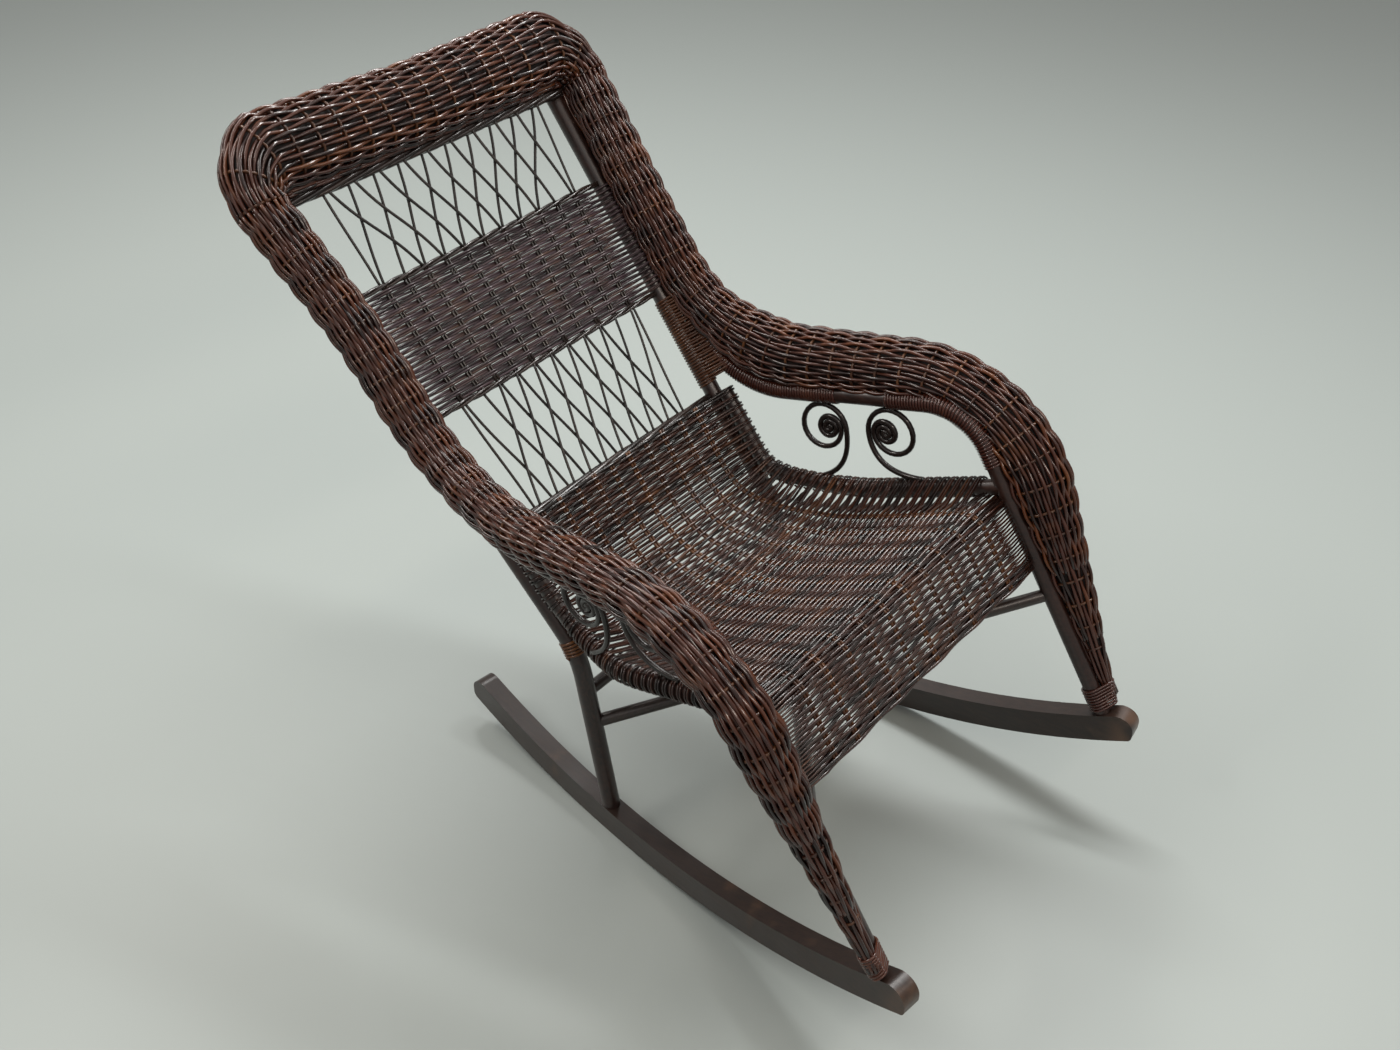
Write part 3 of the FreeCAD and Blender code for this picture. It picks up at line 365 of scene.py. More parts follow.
# tones from dark to pale, roughness and coat of the reeds; dark, light, roughness and stretch of the poles
finishes = {
    "rollReed": reedMaterial("roll_reed", [(.012, .005, .004), (.036, .010, .006), (.075, .020, .009),
                                           (.056, .020, .014), (.100, .027, .009), (.150, .048, .012)], .25, .65),
    "seatReed": reedMaterial("seat_reed", [(.006, .003, .002), (.015, .005, .003), (.032, .010, .006),
                                           (.042, .012, .005), (.026, .010, .008), (.085, .029, .008)], .22, .5),
    "bandReed": reedMaterial("band_reed", [(.021, .013, .015), (.048, .030, .035), (.072, .048, .058),
                                           (.070, .040, .038), (.092, .047, .030)], .34, .2),
    "stakeReed": reedMaterial("stake_reed", [(.05, .018, .009), (.09, .034, .013), (.15, .060, .020)], .34, .3),
    "latticeReed": reedMaterial("lattice_reed", [(.011, .010, .009), (.024, .020, .018), (.038, .032, .027)], .40, .2),
    "redCane": reedMaterial("red_cane", [(.040, .011, .007), (.070, .018, .010), (.12, .036, .013)], .18, .6),
    "orangeCane": reedMaterial("orange_cane", [(.040, .014, .006), (.10, .034, .010), (.18, .070, .020)], .32, .3),
    "darkReed": reedMaterial("dark_reed", [(.012, .009, .008), (.024, .016, .014), (.042, .027, .021)], .26, .4),
    # painted shade: the near-black finish of the tube inside each roll stands in for the shade behind the strands
    "hollow": poleMaterial("roll_inside", (.004, .002, .0015), (.010, .005, .004), .8, (1, 1, 1), 0),
    "frameWood": poleMaterial("frame_wood", (.011, .005, .004), (.042, .016, .010), .36, (6, 1, 2)),
    "armWood": poleMaterial("arm_wood", (.013, .006, .005), (.044, .017, .011), .32, (5, 1, 4)),
    "stretcherWood": poleMaterial("stretcher_wood", (.018, .012, .010), (.052, .032, .024), .34, (1, 5, 5)),
    "runnerWood": runnerMaterial("runner_wood", (.010, .006, .005), (.036, .018, .012), (.15, .08, .045)),
    "screwSteel": steelMaterial("screw_steel", (.30, .29, .27), (.12, .06, .03)),
}
print("materials ready:", len(finishes))


def finishPiece(name, mesh, finish, nodes=()):
    mesh.materials.append(finishes[finish])
    piece = bpy.data.objects.new(name, mesh)
    scene.collection.objects.link(piece)
    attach(piece, "root")
    if nodes:
        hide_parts(*nodes)
    print("made", name, sum(len(face.vertices) - 2 for face in mesh.polygons), "triangles")


# strands, each a line of points and its swelling: bevelled, then one mesh with every strand's tone on its faces
def strandPiece(name, strands, radius, finish, nodes=(), seed=1, sides=1):
    line = bpy.data.curves.new(name, "CURVE")
    line.dimensions = "3D"
    line.bevel_depth = radius
    line.bevel_resolution = sides
    line.use_fill_caps = True
    for number, (points, swell) in enumerate(strands):
        line.materials.append(None)  # an empty slot each, so that the strand's number is kept
        spline = line.splines.new("POLY")
        spline.points.add(len(points) - 1)
        spline.points.foreach_set("co", [c for p in points for c in (p.x, p.y, p.z, 1.0)])
        spline.points.foreach_set("radius", swell if isinstance(swell, list) else [swell] * len(points))
        spline.use_smooth = True
        spline.material_index = number
    bundle = bpy.data.objects.new(name + "_lines", line)
    scene.collection.objects.link(bundle)
    bpy.context.view_layer.update()
    mesh = bpy.data.meshes.new_from_object(bundle)
    bpy.data.objects.remove(bundle)
    shape = bmesh.new()
    shape.from_mesh(mesh)
    bmesh.ops.remove_doubles(shape, verts=shape.verts, dist=1e-6)
    bmesh.ops.recalc_face_normals(shape, faces=shape.faces)
    shape.to_mesh(mesh)
    shape.free()
    pick = random.Random(seed)
    tones = [pick.random() for _ in strands]
    numbers = [face.material_index for face in mesh.polygons]
    tone = mesh.attributes.new("reedTone", "FLOAT", "FACE")
    tone.data.foreach_set("value", [tones[n] for n in numbers])
    mesh.polygons.foreach_set("material_index", [0] * len(numbers))
    mesh.materials.clear()
    mesh.update()
    finishPiece(name, mesh, finish, nodes)


def onSide(strands, side):
    return [([mirrored(p, side) for p in points], swell) for points, swell in strands]


# woven roll round crest, back, arms and front legs
roll = {
    "strands": 44, "reedRadius": .0026, "swell": (.9, 1.08), "stakeSpacing": .037, "stakeRadius": .0019,
    "lift": .0031, "sink": .0030, "stakeLift": .45, "steps": 6, "drift": .12, "depth": (.85, 1.15), "late": .05,
    "insideGap": .0078, "insideSides": 24, "insideEvery": 3, "seed": 7,
    # crest and corners
    "crestUp": .575, "crestDip": .007, "crestHigh": .055, "crestDeep": .038, "cornerRound": .010, "cornerLong": .086,
    "cornerGrowth": 1.5, "sideRadius": .034,
    # middle line down the side
    "forward": .034, "topOut": .041, "topUp": .510, "midOut": .027, "midForward": .038, "midUp": .320,
    "elbowAway": (.0142, .0281, .0489), "kneeAway": (.0435, -.031, .030), "rounds": [1.2, .26, .212],
    "footLift": .044, "footRadius": .009, "footTurn": 40, "footTail": .026, "turnEase": .08, "flatBelow": .024,
    # run of the middle line, share of it, half width, half depth, turn of the width
    "sections": [(0, 0, .034, .034, 38), (1, .5, .037, .0315, 38), (2, 1, .037, .0315, 42),
                 (3, 1 / 3, .037, .0305, 54), (3, 2 / 3, .046, .0305, 60), (3, 1, .047, .0305, 56),
                 (4, .5, .047, .0305, 50), (4, 1, .047, .0305, 44), (5, 1 / 3, .047, .0305, 42),
                 (5, 2 / 3, .047, .0305, 40), (5, 1, .0455, .033, 40), (6, 1, .009, .009, 40)],
    # shares of the leg at which strands drop out, and between which the others close up
    "firstDrop": .42, "firstClose": (.25, .55), "lastDrop": .78, "lastClose": (.62, .92),
}
footTurn = math.radians(roll["footTurn"])
footOff = chair["armRadius"] + chair["wrapThick"] + chair["gap"] + roll["footRadius"]
footSide = across * math.cos(footTurn) + legFront * math.sin(footTurn)
rollCorners = [postPoint(roll["topUp"], roll["topOut"], roll["forward"]),
               postPoint(roll["midUp"], roll["midOut"], roll["midForward"]),
               elbow + Vector(roll["elbowAway"]), knee + Vector(roll["kneeAway"]),
               frontFoot + legWay * roll["footLift"] + footSide * footOff]
rollPath = BentPath(rollCorners, roll["rounds"])
cornerHalf = rollCorners[0].x - roll["sideRadius"] - roll["cornerRound"]
sideStart = cornerHalf + roll["cornerLong"]
rollLong = sideStart + rollPath.length
legStart = sideStart + rollPath.starts[6]
sectionRuns = [(sideStart + rollPath.starts[r] + share * (rollPath.starts[r + 1] - rollPath.starts[r]), a, b, turn)
               for r, share, a, b, turn in roll["sections"]]


def crestDip(run):
    return roll["crestDip"] * (1 - abs(run) / cornerHalf)


def rollSection(run):
    # middle, outward way, forward way, half width, half depth and turn, at a distance from the crest's middle
    if run <= cornerHalf:
        middle = backPoint(roll["crestUp"] - crestDip(run), roll["forward"], run)
        return middle, upBack, offBack, roll["crestHigh"], roll["crestDeep"], 0.0
    if run <= sideStart:
        share = 1 - (run - cornerHalf) / roll["cornerLong"]
        angle = share * math.pi / 2
        grown = share ** roll["cornerGrowth"]
        high = roll["sideRadius"] + (roll["crestHigh"] - roll["sideRadius"]) * grown
        deep = roll["sideRadius"] + (roll["crestDeep"] - roll["sideRadius"]) * grown
        outward = upBack * math.sin(angle) + across * math.cos(angle)
        hub = backPoint(roll["topUp"], roll["forward"], cornerHalf)
        return hub + outward * (roll["cornerRound"] + high), outward, offBack, high, deep, 0.0
    middle, way = rollPath.at(min(run - sideStart, rollPath.length))
    outward = (across - way * way.dot(across)).normalized()
    forward = -outward.cross(way)
    before, after = sectionRuns[0], sectionRuns[-1]
    for first, second in zip(sectionRuns, sectionRuns[1:]):
        if first[0] <= run <= second[0]:
            before, after = first, second
            break
    share = min(max((run - before[0]) / max(after[0] - before[0], 1e-6), 0), 1)
    wide, deep, turn = (before[k] + (after[k] - before[k]) * share for k in (1, 2, 3))
    ease = min((run - sideStart) / roll["turnEase"], 1)
    return middle, outward, forward, wide, deep, math.radians(turn) * ease


def rollPoint(run, angle, off):
    # runs below zero lie on the other side of the chair
    middle, outward, forward, wide, deep, turn = rollSection(abs(run))
    spun = angle - turn
    wideWay = outward * math.cos(turn) + forward * math.sin(turn)
    deepWay = forward * math.cos(turn) - outward * math.sin(turn)
    off *= min(1, deep / roll["flatBelow"])
    point = middle + wideWay * ((wide + off) * math.cos(spun)) + deepWay * ((deep + off) * math.sin(spun))
    return mirrored(point, -1) if run < 0 else point


def settle(value, low, high):
    share = min(max((value - low) / (high - low), 0), 1)
    return share * share * (3 - 2 * share)


def strandAngle(number, run):
    # strands drop out in twos down the tapering leg, and the others close the gaps
    leg = (run - legStart) / (rollLong - legStart)
    kind = number % 8
    if kind % 4 > 1 and leg > roll["firstDrop"] or kind in (4, 5) and leg > roll["lastDrop"]:
        return None
    place = number
    if kind % 4 <= 1:
        place += (-.5, .5)[kind % 4] * settle(leg, *roll["firstClose"])
    if kind <= 1:
        place += (-1, 1)[kind] * settle(leg, *roll["lastClose"])
    return 2 * math.pi * (place + .5) / roll["strands"]


def overUnder(run, number):
    # goes from 1 to -1 and back as a strand passes over one stake and under the next
    return math.cos(math.pi * (run / roll["stakeSpacing"] + number))


def rollStrand(number, runs, pick):
    drift = pick.uniform(-roll["drift"], roll["drift"]) * 2 * math.pi / roll["strands"]
    depth = pick.uniform(*roll["depth"])
    late = pick.uniform(-roll["late"], roll["late"])
    points = []
    for run in runs:
        angle = strandAngle(number, abs(run))
        if angle is None:
            break
        off = roll["lift"] * depth * overUnder(abs(run), number + late) - roll["sink"]
        points.append(rollPoint(run, angle + drift, off))
    return points


def runsBetween(first, last):
    count = max(2, round((last - first) / roll["stakeSpacing"] * roll["steps"]))
    return [first + (last - first) * k / count for k in range(count + 1)]


def rollStakes(first, last):
    stakes = []
    for k in range(math.ceil(first / roll["stakeSpacing"]), math.floor(last / roll["stakeSpacing"]) + 1):
        run = k * roll["stakeSpacing"]
        ring = []
        for number in range(roll["strands"]):
            angle = strandAngle(number, abs(run))
            if angle is not None:
                off = -roll["sink"] - roll["stakeLift"] * roll["lift"] * overUnder(run, number)
                ring.append(rollPoint(run, angle, off))
        stakes += [(part, 1.0) for part in clearParts(ring + ring[:1])]
    return stakes


# painted shade: a near-black tube inside the roll stands in for the shade in the empty space behind the strands
def insideRoll(name, runs):
    shape = bmesh.new()
    rings = []
    for run in runs:
        ring = bmesh.ops.create_circle(shape, segments=roll["insideSides"], radius=1)["verts"]
        for k, corner in enumerate(ring):
            corner.co = rollPoint(run, 2 * math.pi * k / roll["insideSides"], -roll["insideGap"])
        rings.append(ring)
    for first, second in zip(rings, rings[1:]):
        edges = [e for e in shape.edges if all(v in first for v in e.verts) or all(v in second for v in e.verts)]
        bmesh.ops.bridge_loops(shape, edges=edges)
    for ring in (rings[0], rings[-1]):
        bmesh.ops.contextual_create(shape, geom=ring)
    bmesh.ops.recalc_face_normals(shape, faces=shape.faces)
    for face in shape.faces:
        face.smooth = True
    mesh = bpy.data.meshes.new(name)
    shape.to_mesh(mesh)
    shape.free()
    finishPiece(name, mesh, "hollow")


# strands that close the crest down to its rail
skirt = {"strands": 6, "fromCrest": .004, "behind": .004, "overRail": .006, "beforeRail": .008, "lift": .0022,
         "droop": .4, "swell": (.9, 1.05)}


def skirtStrands(pick):
    strands = []
    for number in range(skirt["strands"]):
        share = (number + .5) / skirt["strands"]
        points = []
        for run in runsBetween(-cornerHalf, cornerHalf):
            crestEdge = roll["crestUp"] - crestDip(run) - roll["crestHigh"]
            top = backPoint(crestEdge + skirt["fromCrest"], roll["forward"] - skirt["behind"], run)
            foot = backPoint(crestRailUp + skirt["overRail"], crestRailOff + skirt["beforeRail"], run)
            lift = (offBack - upBack * skirt["droop"]) * (skirt["lift"] * overUnder(run, number))
            points.append(top + (foot - top) * share + lift)
        strands.append((points, pick.uniform(*skirt["swell"])))
    return strands


# strands that close the roll to the post beside it
filler = {"strands": 4, "before": .03, "after": .30, "fromRoll": .029, "fromPost": .010, "lift": .002, "forward": .004}


def fillerStrands():
    strands = []
    for number in range(filler["strands"]):
        share = (number + .5) / filler["strands"]
        points = []
        for run in runsBetween(sideStart - filler["before"], sideStart + filler["after"]):
            middle = rollSection(run)[0]
            post = postPoint(min((middle - backPoint(0)).dot(upBack), chair["postLong"]))
            toPost = (post - middle).normalized()
            first, last = middle + toPost * filler["fromRoll"], post - toPost * filler["fromPost"]
            lift = offBack * (filler["lift"] * overUnder(run, number) + filler["forward"])
            points.append(first + (last - first) * share + lift)
        strands.append((points, 1.0))
    return strands


pick = random.Random(roll["seed"])
crestRuns = runsBetween(-sideStart, sideStart)
crestStrands = []
for number in range(roll["strands"]):
    for part in clearParts(rollStrand(number, crestRuns, pick)):
        crestStrands.append((part, pick.uniform(*roll["swell"])))
crestStrands += skirtStrands(pick)
strandPiece("crest_roll_weave", crestStrands, roll["reedRadius"], "rollReed",
            ("crest_roll", "crest_corner_left", "crest_corner_right"), 11)
crestStakes = rollStakes(-sideStart, sideStart)
strandPiece("crest_roll_stakes", crestStakes, roll["stakeRadius"], "stakeReed", (), 12)
insideRoll("crest_roll_inside", crestRuns[::roll["insideEvery"]])
sideStrands = fillerStrands()
for number in range(roll["strands"]):
    points = rollStrand(number, runsBetween(sideStart, rollLong), pick)
    if strandAngle(number, rollLong) is not None:
        points += [points[-1] - legWay * (roll["footTail"] * k / 3) for k in (1, 2, 3)]
    for part in clearParts(points):
        sideStrands.append((part, pick.uniform(*roll["swell"])))
sideStakes = rollStakes(sideStart + .004, rollLong - .02)  # the last ones stay off the corner and the binding
for side, name in chairSides:
    nodes = [start + name for start in ("back_roll_", "elbow_roll_", "arm_roll_", "knee_roll_", "leg_roll_")]
    strandPiece("side_roll_weave_" + name, onSide(sideStrands, side), roll["reedRadius"], "rollReed",
                nodes, 13 + side)
    strandPiece("side_roll_stakes_" + name, onSide(sideStakes, side), roll["stakeRadius"], "stakeReed",
                (), 15 + side)
for side, name in chairSides:
    runs = runsBetween(sideStart, rollLong - .01)[::roll["insideEvery"]]
    insideRoll("side_roll_inside_" + name, [side * run for run in runs])

# woven seat: weavers run from rail to rail over paired stakes and wrap over the side rails
seat = {
    "railOff": .026, "railTop": .002, "railLow": .141, "midRun": .1239, "midHeight": .366, "frontHeight": .470,
    "apronEdge": .366, "apronForward": .007, "bends": [.0499, .054, .0281], "railRadius": .0115, "railReach": .012,
    "edge": .0006, "backSag": .0132, "sag": .026, "lipSag": .005,
    "pitch": .0047, "reedRadius": .0026, "lift": .0024, "depth": (.85, 1.15), "slip": .15, "swell": (.92, 1.06),
    "steps": 6, "stakes": 10, "stakeShare": .168, "stakePair": .0025, "stakeRadius": .0022, "stakeStep": .008,
    # ends: every third weaver stops short of the rail, the others loop round it between these angles
    "shortEvery": 3, "shortAt": (.9, .985), "shortDrop": .004, "apronDrop": .002, "loop": (112, -150, -26),
    "loopStop": .01, "thinEnds": .6, "seed": 21,
}
railTop = postPoint(seat["railTop"], 0, seat["railOff"])
railLow = postPoint(-seat["railLow"], 0, seat["railOff"])
railFront = legAt(seat["frontHeight"])
railMid = Vector((0, railLow.y - seat["midRun"], seat["midHeight"]))
midShare = (railMid.y - knee.y) / (setback(chair["backSetback"]) - knee.y)
railMid.x = railFront.x + (railLow.x - railFront.x) * midShare
frontTop = railFront + legFront * seat["apronForward"]
apronLow = legAt(seat["apronEdge"]) + legFront * seat["apronForward"]
seatCorners = [Vector((0, p.y, p.z)) for p in (railTop, railLow, railMid, frontTop, apronLow)]
seatRounds = [run * math.tan((a - b).angle(c - b) / 2)
              for a, b, c, run in zip(seatCorners, seatCorners[1:], seatCorners[2:], seat["bends"])]
seatPath = BentPath(seatCorners, seatRounds)
lipStart = seatPath.starts[5]


def seatHalf(point):
    stops = (railTop, railLow, railMid, railFront, apronLow)
    for behind, ahead in zip(stops, stops[1:]):
        if point.y >= ahead.y:
            break
    share = min(max((point.y - behind.y) / (ahead.y - behind.y), 0), 1)
    return behind.x + (ahead.x - behind.x) * share - seat["railReach"] - seat["edge"]


def seatSag(run):
    backEnd = seatPath.starts[1]
    if run < backEnd:
        return seat["backSag"] + (seat["sag"] - seat["backSag"]) * run / backEnd
    if run < lipStart:
        return seat["sag"] + (seat["lipSag"] - seat["sag"]) * ((run - backEnd) / (lipStart - backEnd)) ** 3
    return seat["lipSag"]


def seatNormal(way):
    return Vector((0, way.z, -way.y))


def seatPoint(run, share, off=0.0):
    point, way = seatPath.at(run)
    sag = seatSag(run) * (1 - share * share)
    return point + across * (seatHalf(point) * share) + seatNormal(way) * (off - sag)


def railAxis(run):
    point = seatPath.at(run)[0]
    return point + across * (seatHalf(point) + seat["edge"] + seat["railRadius"])


def weaverEnd(number, run):
    short = number % seat["shortEvery"] == seat["shortEvery"] - 1
    if short or run >= lipStart - seat["loopStop"]:
        first, last = seat["shortAt"]
        return [seatPoint(run, first), seatPoint(run, last, -seat["shortDrop" if short else "apronDrop"])]
    normal = seatNormal(seatPath.at(run)[1])
    reach = seat["railRadius"] + seat["reedRadius"]
    points = []
    for turn in range(*seat["loop"]):
        angle = math.radians(turn)
        points.append(railAxis(run) + across * (math.cos(angle) * reach) + normal * (math.sin(angle) * reach))
    return points


def seatWeaver(number, run, pick):
    count = (seat["stakes"] - 1) * seat["steps"]
    edge = (seat["stakes"] - 1) / 2 * seat["stakeShare"]
    depth = pick.uniform(*seat["depth"])
    slip = pick.uniform(-seat["slip"], seat["slip"]) * seat["pitch"]
    points = []
    for k in range(-seat["steps"] // 2, count + seat["steps"] // 2 + 1):
        share = -edge + 2 * edge * k / count
        wave = math.cos(math.pi * (k / seat["steps"] + number))
        points.append(seatPoint(run + slip, share, seat["lift"] * depth * wave))
    ends = weaverEnd(number, run)
    swell = pick.uniform(*seat["swell"])
    thin = [seat["thinEnds"]] * len(ends)
    return [mirrored(p, -1) for p in reversed(ends)] + points + ends, thin + [swell] * len(points) + thin


pick = random.Random(seat["seed"])
weavers = [seatWeaver(k, (k + .5) * seat["pitch"], pick) for k in range(int(seatPath.length / seat["pitch"]))]
strandPiece("seat_weavers", weavers, seat["reedRadius"], "seatReed",
            ("seat_weave", "seat_back_weave", "seat_lip", "seat_apron"), 31)
stakes = []
for k in range(seat["stakes"]):
    share = (k - (seat["stakes"] - 1) / 2) * seat["stakeShare"]
    for pair in (-1, 1):
        points = []
        for step in range(int(seatPath.length / seat["stakeStep"]) + 1):
            run = min(step * seat["stakeStep"], seatPath.length - .005)
            points.append(seatPoint(run, share + pair * seat["stakePair"] / seatHalf(seatPath.at(run)[0])))
        stakes.append((points, 1.0))
strandPiece("seat_stakes", stakes, seat["stakeRadius"], "stakeReed", (), 32)

# woven band of the back: weavers in pairs over the paired stakes that the lattice reeds become
band = {
    "low": .184, "high": .176, "lowOff": .003, "topOff": .007, "railRadius": .0045,
    "rows": 24, "reedRadius": .0019, "lift": .0033, "depth": (.85, 1.15), "swell": (.92, 1.06), "pairGap": .0018,
    "stray": .0004, "steps": 6, "stakes": 11, "lowPitch": .034, "topPitch": .0366, "stakePair": .0026,
    "stakeRadius": .0022, "stakePast": .006, "stakeSteps": 12,
    # ends: the pairs close up and pass in front of the post, out from its axis and off the back
    "endGap": .0006, "endStray": .0008, "endPair": .0012,
    "endLine": ((-.026, .005), (-.016, .009), (-.007, .0145), (.002, .016), (.012, .012)), "seed": 41,
}


def bandPoint(up, x, off=0.0):
    share = (up - band["low"]) / band["high"]
    return backPoint(up, band["lowOff"] + (band["topOff"] - band["lowOff"]) * share + off, x)


def bandPitch(up):
    return band["lowPitch"] + (band["topPitch"] - band["lowPitch"]) * (up - band["low"]) / band["high"]


def bandWeaver(row, pair, pick):
    middle = band["low"] + (row + .5) * band["high"] / band["rows"]
    up = middle + pair * band["pairGap"] + pick.uniform(-band["stray"], band["stray"])
    depth = pick.uniform(*band["depth"])
    last = (band["stakes"] - 1) // 2 + .5
    count = int(2 * last * band["steps"])
    points = []
    for k in range(count + 1):
        place = -last + 2 * last * k / count
        wave = math.cos(math.pi * (place + row))
        points.append(bandPoint(up, place * bandPitch(up), band["lift"] * depth * wave))
    shut = middle + pair * band["endGap"] + pick.uniform(-band["endStray"], band["endStray"])
    tail = [backPoint(shut, off + pair * band["endPair"], postHalf(up) + out) for out, off in band["endLine"]]
    head = [mirrored(p, -1) for p in reversed(tail)]
    return head + points + tail, pick.uniform(*band["swell"])


pick = random.Random(band["seed"])
bandStrands = [bandWeaver(row, pair, pick) for row in range(band["rows"]) for pair in (-1, 1)]
strandPiece("band_weavers", bandStrands, band["reedRadius"], "bandReed", ("back_band",), 42)
bandStakes = []
for k in range(band["stakes"]):
    place = k - (band["stakes"] - 1) // 2
    for pair in (-1, 1):
        points = []
        for step in range(band["stakeSteps"] + 1):
            share = step / band["stakeSteps"]
            up = band["low"] - band["stakePast"] + (band["high"] + 2 * band["stakePast"]) * share
            points.append(bandPoint(up, place * bandPitch(up) + pair * band["stakePair"]))
        bandStakes.append((points, 1.0))
strandPiece("band_stakes", bandStakes, band["stakeRadius"], "darkReed", (), 43)

# cross rails of the back: reeds laid together and slowly twisted
crossRail = {"steps": 60, "layAt": .52, "stray": .06, "strayWaves": 9, "reedShare": .47, "seed": 50}
bandTopUp = band["low"] + band["high"] + band["railRadius"] + chair["gap"]
bandLowUp = band["low"] - band["railRadius"] - chair["gap"]


def twistedRail(name, node, up, off, half, radius, reeds, turnLong):
    strands = []
    for number in range(reeds):
        points = []
        for k in range(crossRail["steps"] + 1):
            x = -half + 2 * half * k / crossRail["steps"]
            angle = 2 * math.pi * (number / reeds + x / turnLong)
            stray = crossRail["stray"] * math.sin(crossRail["strayWaves"] * x / half + number)
            away = radius * (crossRail["layAt"] + stray)
            points.append(backPoint(up + away * math.sin(angle), off + away * math.cos(angle), x))
        strands.append((points, 1.0))
    strandPiece(name, strands, radius * crossRail["reedShare"], "darkReed", (node,),
                crossRail["seed"] + reeds)


# up, off, half length, radius, number of reeds and length of a twist
twistedRail("crest_rail_reeds", "crest_rail", crestRailUp, crestRailOff, crestHigh.x - .001, .0075, 4, .16)
twistedRail("band_top_reeds", "band_top_rail", bandTopUp, band["topOff"], postHalf(bandTopUp) - .012, .0048, 3, .11)
twistedRail("seat_back_reeds", "seat_back_rail", 0, 0, postHalf(0) - .014, .0088, 5, .3)
twistedRail("band_low_reeds", "band_bottom_rail", bandLowUp, band["lowOff"], postHalf(bandLowUp) - .012, .0048, 3, .11)

# open lattice: springy reeds that leave the rails nearly upright
lattice = {"ways": 10, "shift": 1.5, "pairGap": .003, "reedRadius": .0021, "upperPitch": .043, "lowerPitch": .034,
           "bow": .04, "steps": 18}


def latticeReeds(vRail, vPitch, pointRail, pointPitch):
    strands = []
    layer = lattice["reedRadius"] + chair["gap"] / 2
    (vUp, vOff), (pointUp, pointOff) = vRail, pointRail
    edge = lattice["ways"] / 2
    for k in range(lattice["ways"]):
        place = k - (lattice["ways"] - 1) / 2
        for way in (1, -1):
            goal = place + lattice["shift"] * way
            beyond = abs(goal) > edge  # the outermost reeds turn in to the last stake
            goal = max(-edge, min(edge, goal))
            first = place * vPitch + way * lattice["pairGap"]
            last = goal * pointPitch - way * lattice["pairGap"] * (-1 if beyond else 1)
            points = []
            for step in range(lattice["steps"] + 1):
                share = step / lattice["steps"]
                drawn = share - lattice["bow"] * math.sin(2 * math.pi * share)
                up = vUp + (pointUp - vUp) * share
                off = vOff + (pointOff - vOff) * share + way * layer
                points.append(backPoint(up, off, first + (last - first) * drawn))
            strands.append((points, 1.0))
    return strands


upper = latticeReeds((crestRailUp, crestRailOff), lattice["upperPitch"], (bandTopUp, band["topOff"]), band["topPitch"])
lower = latticeReeds((0, 0), lattice["lowerPitch"], (bandLowUp, band["lowOff"]), band["lowPitch"])
strandPiece("lattice_reeds", upper + lower, lattice["reedRadius"], "latticeReed",
            ("lattice_upper", "lattice_lower"), 61)

# scrolls under the arms: a reed that rises off the rail, loops and ends in a tight coil
scroll = {
    "reedRadius": .0042, "setback": .514, "gap": .019, "under": .0168, "riseSteps": 16, "turnSteps": 12,
    "railStep": .001, "turns": [.074, .065, .036, .028, .0195, .011, .004],
    # side of the gap, reach of the foot, share of the reed's radius above the rail, rise of the shoulder
    "front": (1, .080, .4, .002), "rear": (-1, .054, -1, .016),
}
scrollAt = knee + armWay * ((setback(scroll["setback"]) - knee.y) / armWay.y)
drop = railMid - scrollAt
drop = (drop - armWay * drop.dot(armWay)).normalized()


def scrollLine(front, reach, above, rise):
    def flat(along, down):
        return scrollAt - armWay * (front * along) + drop * down

    footAlong = scroll["gap"] + reach
    runs = [scroll["railStep"] * k for k in range(int(seatPath.length / scroll["railStep"]))]
    rail = railAxis(min(runs, key=lambda run: abs(-front * (railAxis(run) - scrollAt).dot(armWay) - footAlong)))
    footDrop = (rail - scrollAt).dot(drop) - seat["railRadius"] - scroll["reedRadius"] * above
    loopMiddle = scroll["under"] + scroll["turns"][0] / 2
    foot, shoulder = flat(footAlong, footDrop), flat(scroll["gap"], footDrop - rise)
    top = flat(scroll["gap"], loopMiddle)
    points = []
    for k in range(scroll["riseSteps"] + 1):
        t = k / scroll["riseSteps"]
        points.append(foot * (1 - t) ** 2 + shoulder * (2 * t * (1 - t)) + top * t * t)
    along, way = scroll["gap"], 1
    for wide in scroll["turns"]:
        for k in range(1, scroll["turnSteps"] + 1):
            angle = math.pi * k / scroll["turnSteps"]
            points.append(flat(along + way * wide / 2 * (1 - math.cos(angle)),
                               loopMiddle - way * wide / 2 * math.sin(angle)))
        along += way * wide
        way = -way
    return points


for place in ("front", "rear"):
    strands = [(scrollLine(*scroll[place]), 1.0)]
    for side, name in chairSides:
        strandPiece("scroll_reed_%s_%s" % (place, name), onSide(strands, side), scroll["reedRadius"], "darkReed",
                    ("scroll_%s_%s" % (place, name),), 90, 2)

# cane wound round arms, posts and feet
winding = {
    "pitch": .0046, "caneRadius": .0020, "proud": .4, "points": 10, "topStart": .004, "bareStart": .128,
    "bareLong": .084, "downLeg": .092, "postLow": .018, "postHigh": .166, "postPoints": 14, "bowReach": .046,
    "bowLong": .3, "bowStep": .003, "bindHalf": .012, "bindShare": .62, "footTurns": 8, "footPoints": 16,
    "footStart": .005, "footTuck": .62,
}
wrapRadius = chair["armRadius"] + winding["caneRadius"] * winding["proud"]
postWrapRadius = chair["postRadius"] + winding["caneRadius"] * winding["proud"]


def turnAbout(way, angle):
    side = (across - way * way.dot(across)).normalized()
    return side * math.cos(angle) + way.cross(side) * math.sin(angle)


def wound(path, first, last, radius):
    turns = (last - first) / winding["pitch"]
    count = int(turns * winding["points"])
    points = []
    for k in range(count + 1):
        middle, way = path.at(first + (last - first) * k / count)
        points.append(middle + turnAbout(way, 2 * math.pi * turns * k / count) * radius)
    return points


